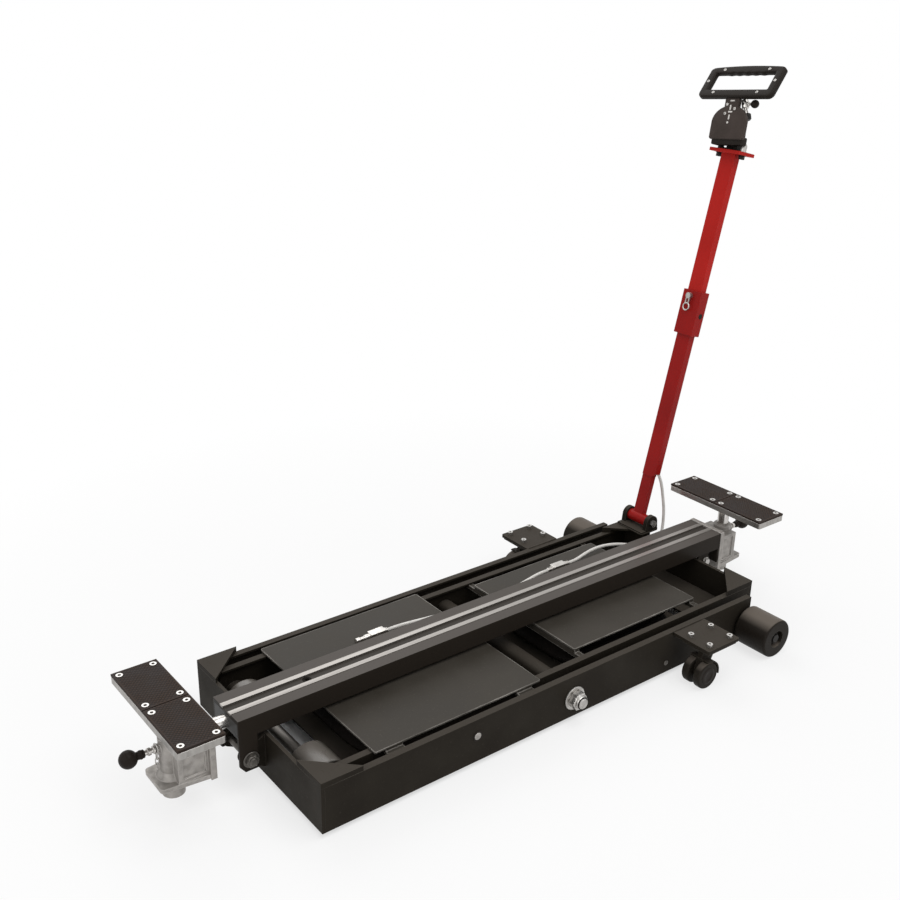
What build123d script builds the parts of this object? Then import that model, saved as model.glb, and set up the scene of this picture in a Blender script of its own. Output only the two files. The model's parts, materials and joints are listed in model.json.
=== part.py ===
"""Trolley scissor jack lifted by two air bags, with sliding saddles and a tiller handle.

Millimetres. The floor is z = 0, +Z is up, +X points to the handle end and -Y is the near side.
Two crossed frames share one pivot: the outer frame is high at -X and rolls on the floor at +X,
the inner frame is low at -X and high at +X. A level beam rides on their two high ends.
"""
from build123d import *
import math
import os

os.makedirs("parts", exist_ok=True)

# Scissor: one centre pivot, arms of equal length, floor wheels of one radius
PIVOT_X, PIVOT_Z = 20.0, 58.0
HIGH_ARM = 658.0
LOW_ARM = 559.0
WHEEL_R = 47.0
AXLE_X = PIVOT_X - LOW_ARM
ROLLER_X = PIVOT_X + LOW_ARM
BEAM_PIN_X, BEAM_PIN_Z = PIVOT_X - HIGH_ARM, 72.0
SLIDE_PIN_X, SLIDE_PIN_Z = PIVOT_X + HIGH_ARM, 140.0

# Folded channel rails of the two frames
SHEET = 5.0
FLANGE = 15.0
END_PLATE = 8.0
OUTER_X0, OUTER_X1 = -602.0, 592.0
OUTER_Y, OUTER_Z0, OUTER_Z1 = 250.0, 12.0, 112.0
INNER_X0, INNER_X1 = -572.0, 640.0
INNER_Y, INNER_Z0, INNER_Z1 = 212.0, 28.0, 110.0

# Corner gussets
GUSSET_X, GUSSET_Y = 92.0, 87.0
GUSSET_Z0, GUSSET_Z1 = 118.0, 124.0

# Panels that the air bags push, and the trays that the bags stand on: first x, last x, half width
LEFT_PANEL = (-467.0, -53.0, 222.0)
RIGHT_PANEL = (85.5, 472.5, 176.0)
PANEL_Z0, PANEL_Z1 = 111.5, 115.5
PANEL_CORNER = 4.0
TAB_LENGTH, TAB_INSET = 40.0, 24.0
INNER_TRAY = (-484.0, -60.0, 206.0)
OUTER_TRAY = (70.0, 500.0, 244.0)
LEFT_BAG = (-452.0, -72.0, 184.0)
RIGHT_BAG = (104.0, 456.0, 156.0)
BAG_CORNER, BAG_ROUND, BAG_GAP = 40.0, 20.0, 0.4

# Pivots, axles and running fits
RUN = 0.05
AXLE_D, ROLLER_AXLE_D = 28.0, 20.0
STUD_D, STUD_IN, STUD_OUT = 24.0, 160.0, 281.0
CENTRE_TUBE_D = 48.0
BOLT_D = 16.0
WASHER_D, NUT_AF = 54.0, 36.0

# Wheels under the inner frame and rollers outside the outer frame
WHEEL_Y0, WHEEL_Y1 = 90.0, 170.0
ROLLER_Y0, ROLLER_Y1 = 256.0, 344.0
HUB_RECESS_D, HUB_RECESS = 42.0, 13.0
WHEEL_EDGE = 5.0

# Castors
CASTOR_X, CASTOR_Y = 371.0, 313.0
CASTOR_R, CASTOR_TRAIL, CASTOR_WIDTH = 32.0, 24.0, 19.0
CASTOR_LEG, CASTOR_PIN = 12.0, 10.0
BRACKET_X, BRACKET_Y1, BRACKET_T = 102.0, 354.0, 8.0
CASTOR_PLATE_T = 6.0
PATTERN_X, PATTERN_Y = 66.0, 54.0
CASTOR_BOLT_D, CASTOR_HEAD_D = 8.0, 13.0

# Beam, a channel open below, with two bright strips beside a groove
BEAM_X0, BEAM_X1 = -661.0, 708.0
BEAM_Y, BEAM_Z0, BEAM_Z1 = 51.0, 124.0, 166.0
BEAM_WALL, BEAM_ROOF = 5.0, 9.0
GROOVE_Y, STRIP_Y, STRIP_SEAT, STRIP_PROUD = 10.5, 22.0, 3.0, 1.0
BEAM_LUG_X, BEAM_LUG_Z = 39.0, 47.0
GUIDES = ((-661.0, -621.0), (-520.0, -480.0), (480.0, 520.0), (698.0, 708.0))

# Sliding arms, cast brackets, posts and saddles. Q runs outwards from a bracket's face.
ARM_D, ARM_Z, ARM_INNER = 28.0, 141.0, 300.0
FACE_X = 709.0
POST_Q, POST_D, POST_Z0 = 67.0, 28.0, 34.0
BOSS_D, BOSS_Z0, BOSS_Z1 = 44.0, 30.0, 157.0
FACE_Y, FACE_Z0, FACE_Z1, FACE_T = 52.0, 62.0, 167.0, 12.0
BASE_Z0, BASE_Z1, BASE_END = 64.0, 73.0, 106.0
BODY_Y, BODY_Z1, BODY_END, BODY_WALL = 42.0, 146.0, 72.0, 8.0
SADDLE_X, SADDLE_Y = 46.5, 148.0
PLATE_Z0, PLATE_Z1, PAD_Z1 = 210.0, 224.0, 229.0
LOCK_Z, LOCK_D, LOCK_LENGTH = 138.0, 10.0, 81.0
BALL_R = 17.5

# Tiller handle that leans back on its stop. U runs across the tube, W along it.
TILLER_X, TILLER_Y, TILLER_Z = 637.0, 163.0, 148.0
LEAN = 12.8
TUBE_U, TUBE_V0, TUBE_V1, TUBE_T = 10.0, -23.0, 19.0, 2.0
TUBE_W0, SLEEVE_W0, JOINT_W, SLEEVE_W1 = 118.0, 500.0, 552.0, 612.0
SLEEVE_U, SLEEVE_V = 5.0, 8.0
FOOT_U, FOOT_V0 = 8.0, -12.0
FLANGE_W, FLANGE_T = 954.0, 8.0
TILLER_BOLT_D, TILLER_NUT_AF = 10.0, 16.0
LUG_T, LUG_R, TILLER_LUG_R = 12.0, 18.0, 20.0
LOCK_PIN_D, LOCK_PIN_W, LOCK_PIN_V = 8.0, 598.0, 2.0

# Control lever: an arched cover, a neck and a loop grip that swing together on the head's pin.
# A runs across the lever, B up it, both from the pin. The lever stands a little to one side.
PIN_V, PIN_W, PIN_D = -5.0, 1000.0, 12.0
SWING = 4.7
COVER_U0, COVER_U1, COVER_A, COVER_B0, COVER_B1, COVER_RISE = -42.0, -9.0, 52.0, -17.0, 23.0, 40.0
BAND_A, BAND_B0 = 45.0, -29.0
NECK_U0, NECK_U1, NECK_A = -40.0, -28.0, 22.0
GRIP_A, GRIP_B, GRIP_U, GRIP_TILT = -4.0, 90.0, -36.0, 28.1
GRIP_WIDTH, GRIP_HEIGHT, GRIP_BAR, GRIP_T = 220.0, 91.0, 23.0, 22.0
HUB_D, HUB_U0, HUB_U1 = 32.0, -8.0, 14.0

# Air valve on the lever and its knob
VALVE_U, VALVE_A, VALVE_B, VALVE_TILT, VALVE_LENGTH = -19.0, -37.0, 32.0, 20.0, 50.0
KNOB_R, KNOB_A, KNOB_B = 10.0, -52.0, 70.0

# Air hose and its fittings
HOSE_D = 8.0
FITTING_Y, FITTING_Z = 117.0, 123.5
INLET_X, INLET_Y, INLET_Z = 676.0, 121.5, 64.0

# Middle of the whole, from the left knob to the grip
MIDDLE_X = 14.2

SIDES = {"near": -1, "far": 1}
ENDS = {"left": -1, "right": 1}


def finish(builder, name):
    """Moves a finished piece so that the origin is under the middle of the whole, and writes its STEP file."""
    piece = builder.part.moved(Location((-MIDDLE_X, 0, 0)))
    piece.label = name
    export_step(piece, f"parts/{name}.step")


def upright(y):
    """Plane at one y, drawn in x and z, that extrudes towards -Y."""
    return Plane.XZ.offset(-y)


def across(x):
    """Plane at one x, drawn in y and z, that extrudes towards +X."""
    return Plane.YZ.offset(x)


def level(z):
    """Plane at one z, drawn in x and y, that extrudes upwards."""
    return Plane.XY.offset(z)


def box(x0, x1, y0, y1, z0, z1, mode=Mode.ADD):
    """Block between two corners, added to the open part."""
    with Locations(((x0 + x1) / 2, (y0 + y1) / 2, (z0 + z1) / 2)):
        Box(abs(x1 - x0), abs(y1 - y0), abs(z1 - z0), mode=mode)


def disc(x, z, diameter, y0, y1, mode=Mode.ADD):
    """Round bar along Y between two y values."""
    with BuildSketch(upright(max(y0, y1))) as outline:
        with Locations((x, z)):
            Circle(diameter / 2)
    extrude(outline.sketch, amount=abs(y1 - y0), mode=mode)


def hexagon(x, z, flats, y0, y1):
    """Hexagon bar along Y between two y values."""
    with BuildSketch(upright(max(y0, y1))) as outline:
        with Locations((x, z)):
            RegularPolygon(flats / 2, 6, major_radius=False)
    extrude(outline.sketch, amount=abs(y1 - y0))


def column(x, y, diameter, z0, z1, mode=Mode.ADD):
    """Round bar along Z between two heights."""
    with BuildSketch(level(z0)) as outline:
        with Locations((x, y)):
            Circle(diameter / 2)
    extrude(outline.sketch, amount=z1 - z0, mode=mode)


def lug(x, z, radius, foot_x, foot_z0, foot_z1, y0, y1):
    """Plate along XZ with a round eye, spreading to a straight foot at one x."""
    with BuildSketch(upright(max(y0, y1))) as outline:
        with Locations((x, z)):
            Circle(radius)
        with Locations((foot_x, (foot_z0 + foot_z1) / 2)):
            Rectangle(2, foot_z1 - foot_z0)
        make_hull()
    extrude(outline.sketch, amount=abs(y1 - y0))


# Frames
def channel(sign, y_out, x0, x1, z0, z1):
    """Folded channel rail that opens inwards."""
    middle = (z0 + z1) / 2
    with BuildSketch(across(x0)) as outline:
        with Locations((sign * (y_out - FLANGE / 2), middle)):
            Rectangle(FLANGE, z1 - z0)
        with Locations((sign * (y_out - (FLANGE + SHEET) / 2), middle)):
            Rectangle(FLANGE - SHEET, z1 - z0 - 2 * SHEET, mode=Mode.SUBTRACT)
    extrude(outline.sketch, amount=x1 - x0)


for side, sign in SIDES.items():
    with BuildPart() as outer_rail:
        channel(sign, OUTER_Y, OUTER_X0 + END_PLATE, OUTER_X1, OUTER_Z0, OUTER_Z1)
        disc(PIVOT_X, PIVOT_Z, STUD_D, -OUTER_Y - 1, OUTER_Y + 1, mode=Mode.SUBTRACT)
    finish(outer_rail, f"outer_rail_{side}")

    with BuildPart() as inner_rail:
        channel(sign, INNER_Y, INNER_X0, INNER_X1 - END_PLATE, INNER_Z0, INNER_Z1)
        disc(AXLE_X, WHEEL_R, AXLE_D + 18, sign * (WHEEL_Y1 + 8), sign * (INNER_Y - SHEET))
        box(INNER_X0, AXLE_X + 60, sign * (INNER_Y - SHEET), sign * (WHEEL_Y1 + 8),
            INNER_Z0 - 10, INNER_Z0, mode=Mode.SUBTRACT)
        disc(AXLE_X, WHEEL_R, AXLE_D + 2 * RUN, sign * WHEEL_Y1, sign * (INNER_Y - SHEET), mode=Mode.SUBTRACT)
        disc(PIVOT_X, PIVOT_Z, STUD_D + 2 * RUN, -INNER_Y - 1, INNER_Y + 1, mode=Mode.SUBTRACT)
    finish(inner_rail, f"inner_rail_{side}")

with BuildPart() as outer_end_plate:
    box(OUTER_X0, OUTER_X0 + END_PLATE, -OUTER_Y, OUTER_Y, OUTER_Z0, OUTER_Z1)
    for sign in SIDES.values():
        lug(BEAM_PIN_X, BEAM_PIN_Z, LUG_R, OUTER_X0 + 1, 34, 108, sign * 30, sign * 42)
    disc(BEAM_PIN_X, BEAM_PIN_Z, BOLT_D + 2 * RUN, -60, 60, mode=Mode.SUBTRACT)
finish(outer_end_plate, "outer_end_plate")

with BuildPart() as inner_end_plate:
    box(INNER_X1 - END_PLATE, INNER_X1, -INNER_Y, INNER_Y, INNER_Z0, INNER_Z1)
    for sign in SIDES.values():
        lug(SLIDE_PIN_X, SLIDE_PIN_Z, LUG_R - 3, INNER_X1 - 1, 62, INNER_Z1, sign * 37, sign * 43)
        disc(SLIDE_PIN_X - 10, 97, 30, sign * 37, sign * 43)
        disc(SLIDE_PIN_X, SLIDE_PIN_Z, BOLT_D, sign * 17.5, sign * 40)
finish(inner_end_plate, "inner_end_plate")


def gusset(corner_x, corner_y, step_x, step_y, base_z):
    """Three-cornered plate with a skirt down to what it is welded on."""
    with BuildSketch(level(base_z)) as outline:
        with BuildLine():
            Polyline((corner_x, corner_y), (corner_x + step_x, corner_y), (corner_x, corner_y + step_y),
                     close=True)
        make_face()
    extrude(outline.sketch, amount=GUSSET_Z1 - base_z)
    inner_x = corner_x + math.copysign(END_PLATE, step_x)
    inner_y = corner_y + math.copysign(FLANGE, step_y)
    box(inner_x, corner_x + step_x, inner_y, corner_y + step_y, base_z, GUSSET_Z0, mode=Mode.SUBTRACT)


with BuildPart() as outer_gussets:
    for sign in SIDES.values():
        gusset(OUTER_X0, sign * OUTER_Y, GUSSET_X, -sign * GUSSET_Y, OUTER_Z1)
finish(outer_gussets, "outer_gussets")

with BuildPart() as inner_gussets:
    for sign in SIDES.values():
        gusset(INNER_X1, sign * INNER_Y, -GUSSET_X, -sign * GUSSET_Y, INNER_Z1)
finish(inner_gussets, "inner_gussets")


def panel(place):
    """Flat panel with rounded corners."""
    x0, x1, half = place
    with BuildSketch(level(PANEL_Z0)) as outline:
        with Locations(((x0 + x1) / 2, 0)):
            RectangleRounded(x1 - x0, 2 * half, PANEL_CORNER)
    extrude(outline.sketch, amount=PANEL_Z1 - PANEL_Z0)


with BuildPart() as left_panel:
    panel(LEFT_PANEL)
    for x in (LEFT_PANEL[0] + TAB_INSET, LEFT_PANEL[1] - TAB_INSET - TAB_LENGTH):
        for sign in SIDES.values():
            edge_y = sign * (INNER_Y + 2)
            box(x, x + TAB_LENGTH, edge_y, sign * LEFT_PANEL[2], OUTER_Z1 - SHEET - 6, PANEL_Z0)
            box(x, x + TAB_LENGTH, edge_y, sign * (OUTER_Y - SHEET), OUTER_Z1 - SHEET - 6, OUTER_Z1 - SHEET)
finish(left_panel, "left_panel")

with BuildPart() as right_panel:
    panel(RIGHT_PANEL)
    for x in (RIGHT_PANEL[0] + 1.5, RIGHT_PANEL[1] - 14.5):
        box(x, x + 13, -RIGHT_PANEL[2], RIGHT_PANEL[2], INNER_Z1 - SHEET, PANEL_Z0)
        box(x, x + 13, -(INNER_Y - SHEET), INNER_Y - SHEET, INNER_Z1 - SHEET - 10, INNER_Z1 - SHEET)
finish(right_panel, "right_panel")

with BuildPart() as inner_tray:
    for x0, x1 in (INNER_TRAY[:2], (506, INNER_X1 - END_PLATE)):
        box(x0, x1, -INNER_TRAY[2], INNER_TRAY[2], INNER_Z0 + SHEET, INNER_Z0 + 2 * SHEET)
finish(inner_tray, "inner_tray")

with BuildPart() as outer_tray:
    box(OUTER_TRAY[0], OUTER_TRAY[1], -OUTER_TRAY[2], OUTER_TRAY[2], OUTER_Z0 + SHEET, OUTER_Z0 + 2 * SHEET)
finish(outer_tray, "outer_tray")

for name, place, tray_z in (("left_air_bag", LEFT_BAG, INNER_Z0), ("right_air_bag", RIGHT_BAG, OUTER_Z0)):
    floor = tray_z + 2 * SHEET + BAG_GAP
    with BuildPart() as air_bag:
        with BuildSketch(level(floor)):
            with Locations(((place[0] + place[1]) / 2, 0)):
                RectangleRounded(place[1] - place[0], 2 * place[2], BAG_CORNER)
        extrude(amount=PANEL_Z0 - BAG_GAP - floor)
        fillet(air_bag.faces().sort_by(Axis.Z)[-1].edges(), BAG_ROUND)
        fillet(air_bag.faces().sort_by(Axis.Z)[0].edges(), BAG_ROUND)
    finish(air_bag, name)

# Centre pivot
with BuildPart() as centre_tube:
    disc(PIVOT_X, PIVOT_Z, CENTRE_TUBE_D, -(INNER_Y - SHEET), INNER_Y - SHEET)
    for sign in SIDES.values():
        disc(PIVOT_X, PIVOT_Z, STUD_D + 2 * RUN, sign * (STUD_IN - 2), sign * INNER_Y, mode=Mode.SUBTRACT)
finish(centre_tube, "centre_tube")

with BuildPart() as pivot_studs:
    for sign in SIDES.values():
        disc(PIVOT_X, PIVOT_Z, STUD_D, sign * STUD_IN, sign * STUD_OUT)
        disc(PIVOT_X, PIVOT_Z, 1.6 * STUD_D, sign * (INNER_Y + 0.5), sign * (OUTER_Y - SHEET))
    chamfer(pivot_studs.faces().filter_by(Axis.Y).sort_by(Axis.Y)[0].edges(), 2)
    chamfer(pivot_studs.faces().filter_by(Axis.Y).sort_by(Axis.Y)[-1].edges(), 2)
finish(pivot_studs, "pivot_studs")

with BuildPart() as pivot_nuts:
    for sign in SIDES.values():
        disc(PIVOT_X, PIVOT_Z, WASHER_D, sign * OUTER_Y, sign * (OUTER_Y + 4))
        hexagon(PIVOT_X, PIVOT_Z, NUT_AF, sign * (OUTER_Y + 4), sign * (OUTER_Y + 22))
    disc(PIVOT_X, PIVOT_Z, STUD_D, -STUD_OUT, STUD_OUT, mode=Mode.SUBTRACT)
finish(pivot_nuts, "pivot_nuts")

# Wheels under the inner frame, on one axle
with BuildPart() as axle_bar:
    disc(AXLE_X, WHEEL_R, AXLE_D, -(INNER_Y - SHEET - 1), INNER_Y - SHEET - 1)
    for sign in SIDES.values():
        disc(AXLE_X, WHEEL_R, AXLE_D + 12, sign * (WHEEL_Y0 - 6), sign * (WHEEL_Y0 - 0.4))
        disc(AXLE_X, WHEEL_R, AXLE_D + 12, sign * (WHEEL_Y1 + 0.4), sign * (WHEEL_Y1 + 6))
finish(axle_bar, "axle_bar")


def wheel(x, radius, bore, y0, y1, edge):
    """Solid wheel along Y with rounded rims and a running bore."""
    with BuildSketch(upright(max(y0, y1))) as outline:
        with Locations((x, radius)):
            Circle(radius)
            Circle(bore / 2 + RUN, mode=Mode.SUBTRACT)
    extrude(outline.sketch, amount=abs(y1 - y0))
    rims = [e for e in edges().filter_by(GeomType.CIRCLE) if abs(e.radius - radius) < 0.01]
    fillet(rims, edge)


for side, sign in SIDES.items():
    with BuildPart() as floor_wheel:
        wheel(AXLE_X, WHEEL_R, AXLE_D, sign * WHEEL_Y0, sign * WHEEL_Y1, WHEEL_EDGE)
    finish(floor_wheel, f"floor_wheel_{side}")

    with BuildPart() as floor_roller:
        wheel(ROLLER_X, WHEEL_R, ROLLER_AXLE_D, sign * ROLLER_Y0, sign * ROLLER_Y1, WHEEL_EDGE)
        disc(ROLLER_X, WHEEL_R, HUB_RECESS_D, sign * (ROLLER_Y1 - HUB_RECESS), sign * (ROLLER_Y1 + 1),
             mode=Mode.SUBTRACT)
    finish(floor_roller, f"floor_roller_{side}")

with BuildPart() as roller_axles:
    seat = ROLLER_Y1 - HUB_RECESS + 0.4
    for sign in SIDES.values():
        disc(ROLLER_X, WHEEL_R, ROLLER_AXLE_D, sign * OUTER_Y, sign * seat)
        disc(ROLLER_X, WHEEL_R, 2 * ROLLER_AXLE_D, sign * OUTER_Y, sign * (ROLLER_Y0 - 1))
        disc(ROLLER_X, WHEEL_R, 1.7 * ROLLER_AXLE_D, sign * seat, sign * (seat + 3))
        hexagon(ROLLER_X, WHEEL_R, 19, sign * (seat + 3), sign * (seat + 10))
finish(roller_axles, "roller_axles")

# Castors under brackets on the outer rails
CASTOR_SPOTS = [(CASTOR_X, sign * CASTOR_Y) for sign in SIDES.values()]
BRACKET_Z0 = OUTER_Z1 - BRACKET_T
PLATE_BOTTOM = BRACKET_Z0 - CASTOR_PLATE_T

with BuildPart() as castor_brackets:
    for x, y in CASTOR_SPOTS:
        edge_y = math.copysign(OUTER_Y, y)
        box(x - BRACKET_X / 2, x + BRACKET_X / 2, edge_y, math.copysign(BRACKET_Y1, y), BRACKET_Z0, OUTER_Z1)
    fillet(castor_brackets.edges().filter_by(Axis.Z), 4)
    for x, y in CASTOR_SPOTS:
        box(x - 46, x + 46, y - 37, y + 37, PLATE_BOTTOM, BRACKET_Z0)
        column(x, y, CASTOR_PIN + 2 * RUN, PLATE_BOTTOM, BRACKET_Z0, mode=Mode.SUBTRACT)
        with Locations((x, y, OUTER_Z1)):
            with GridLocations(PATTERN_X, PATTERN_Y, 2, 2):
                Hole(CASTOR_BOLT_D / 2, BRACKET_T + CASTOR_PLATE_T)
finish(castor_brackets, "castor_brackets")

with BuildPart() as castor_bolts:
    for x, y in CASTOR_SPOTS:
        with BuildSketch(level(PLATE_BOTTOM - 4)):
            with Locations((x, y)):
                with GridLocations(PATTERN_X, PATTERN_Y, 2, 2):
                    Circle(CASTOR_BOLT_D / 2)
        extrude(amount=OUTER_Z1 - PLATE_BOTTOM + 4)
        with BuildSketch(level(OUTER_Z1)):
            with Locations((x, y)):
                with GridLocations(PATTERN_X, PATTERN_Y, 2, 2):
                    Circle(CASTOR_HEAD_D / 2)
                    RegularPolygon(3, 6, mode=Mode.SUBTRACT)
        extrude(amount=CASTOR_BOLT_D)
        with BuildSketch(level(OUTER_Z1)):
            with Locations((x, y)):
                with GridLocations(PATTERN_X, PATTERN_Y, 2, 2):
                    Circle(CASTOR_BOLT_D / 2)
        extrude(amount=CASTOR_BOLT_D / 2)
finish(castor_bolts, "castor_bolts")

for (x, y), side in zip(CASTOR_SPOTS, SIDES):
    hub_x = x - CASTOR_TRAIL
    with BuildPart() as castor_fork:
        column(x, y, 52, PLATE_BOTTOM - 8.4, PLATE_BOTTOM - 0.4)
        column(x, y, CASTOR_PIN, PLATE_BOTTOM - 1, BRACKET_Z0 - 0.4)
        with BuildSketch(upright(y + CASTOR_LEG / 2)):
            with Locations((hub_x, CASTOR_R)):
                Circle(14)
            with Locations((x, PLATE_BOTTOM - 7)):
                Rectangle(44, 2)
            make_hull()
        extrude(amount=CASTOR_LEG)
        with BuildSketch(upright(y + CASTOR_LEG / 2 + CASTOR_WIDTH)):
            with Locations((hub_x, CASTOR_R)):
                Circle(CASTOR_R + 5)
                Circle(CASTOR_R + 1.5, mode=Mode.SUBTRACT)
            with BuildLine():
                Polyline((hub_x, CASTOR_R), (hub_x + 80, CASTOR_R - 12), (hub_x + 80, CASTOR_R + 80),
                         (hub_x - 14, CASTOR_R + 80), close=True)
            make_face(mode=Mode.INTERSECT)
        extrude(amount=CASTOR_LEG + 2 * CASTOR_WIDTH)
        disc(hub_x, CASTOR_R, CASTOR_PIN, y - CASTOR_LEG / 2 - CASTOR_WIDTH, y + CASTOR_LEG / 2 + CASTOR_WIDTH)
    finish(castor_fork, f"castor_fork_{side}")

    with BuildPart() as castor_wheels:
        for hand in (-1, 1):
            inner_face = y + hand * (CASTOR_LEG / 2 + 0.6)
            wheel(hub_x, CASTOR_R, CASTOR_PIN, inner_face, inner_face + hand * CASTOR_WIDTH, 4)
    finish(castor_wheels, f"castor_wheels_{side}")

# Beam on the two high ends
with BuildPart() as beam_profile:
    with BuildSketch(across(BEAM_X0)):
        with Locations((0, (BEAM_Z0 + BEAM_Z1) / 2)):
            Rectangle(2 * BEAM_Y, BEAM_Z1 - BEAM_Z0)
        with Locations((0, BEAM_Z0)):
            Rectangle(2 * (BEAM_Y - BEAM_WALL), BEAM_Z1 - BEAM_ROOF - BEAM_Z0,
                      align=(Align.CENTER, Align.MIN), mode=Mode.SUBTRACT)
        with Locations((0, BEAM_Z1)):
            Rectangle(2 * STRIP_Y, 2 * STRIP_SEAT, mode=Mode.SUBTRACT)
    extrude(amount=BEAM_X1 - BEAM_X0)
    for sign in SIDES.values():
        with BuildSketch(upright(max(sign * BEAM_Y, sign * (BEAM_Y - BEAM_WALL)))):
            with BuildLine():
                Polyline((BEAM_X0, BEAM_Z0 + 2), (BEAM_X0 + BEAM_LUG_X, BEAM_Z0 + 2),
                         (BEAM_X0 + BEAM_LUG_X, BEAM_LUG_Z), (BEAM_X0 + 11, BEAM_LUG_Z),
                         (BEAM_X0, BEAM_LUG_Z + 14), close=True)
            make_face()
        extrude(amount=BEAM_WALL)
    disc(BEAM_PIN_X, BEAM_PIN_Z, BOLT_D, -BEAM_Y - 1, BEAM_Y + 1, mode=Mode.SUBTRACT)
    column(BEAM_X0 + 180, 0, 9, BEAM_Z1 - 12, BEAM_Z1, mode=Mode.SUBTRACT)
finish(beam_profile, "beam_profile")

with BuildPart() as beam_strips:
    for sign in SIDES.values():
        box(BEAM_X0, BEAM_X1, sign * GROOVE_Y, sign * STRIP_Y, BEAM_Z1 - STRIP_SEAT, BEAM_Z1 + STRIP_PROUD)
finish(beam_strips, "beam_strips")

with BuildPart() as beam_pivot_bolt:
    disc(BEAM_PIN_X, BEAM_PIN_Z, BOLT_D, -BEAM_Y, BEAM_Y)
    for sign in SIDES.values():
        disc(BEAM_PIN_X, BEAM_PIN_Z, 34, sign * BEAM_Y, sign * (BEAM_Y + 3))
        hexagon(BEAM_PIN_X, BEAM_PIN_Z, 24, sign * (BEAM_Y + 3), sign * (BEAM_Y + 13))
finish(beam_pivot_bolt, "beam_pivot_bolt")

with BuildPart() as arm_guides:
    for x0, x1 in GUIDES:
        box(x0, x1, -(BEAM_Y - BEAM_WALL), BEAM_Y - BEAM_WALL, BEAM_Z0 + 1, BEAM_Z1 - BEAM_ROOF)
    with BuildSketch(across(BEAM_X0 - 1)):
        with Locations((0, ARM_Z)):
            Circle(ARM_D / 2 + RUN)
    extrude(amount=BEAM_X1 - BEAM_X0 + 2, mode=Mode.SUBTRACT)
finish(arm_guides, "arm_guides")

with BuildPart() as slide_rollers:
    for sign in SIDES.values():
        with BuildSketch(upright(max(sign * 18, sign * 35.5))):
            with Locations((SLIDE_PIN_X, SLIDE_PIN_Z)):
                Circle(BOLT_D)
                Circle(BOLT_D / 2 + RUN, mode=Mode.SUBTRACT)
        extrude(amount=17.5)
finish(slide_rollers, "slide_rollers")

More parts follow.
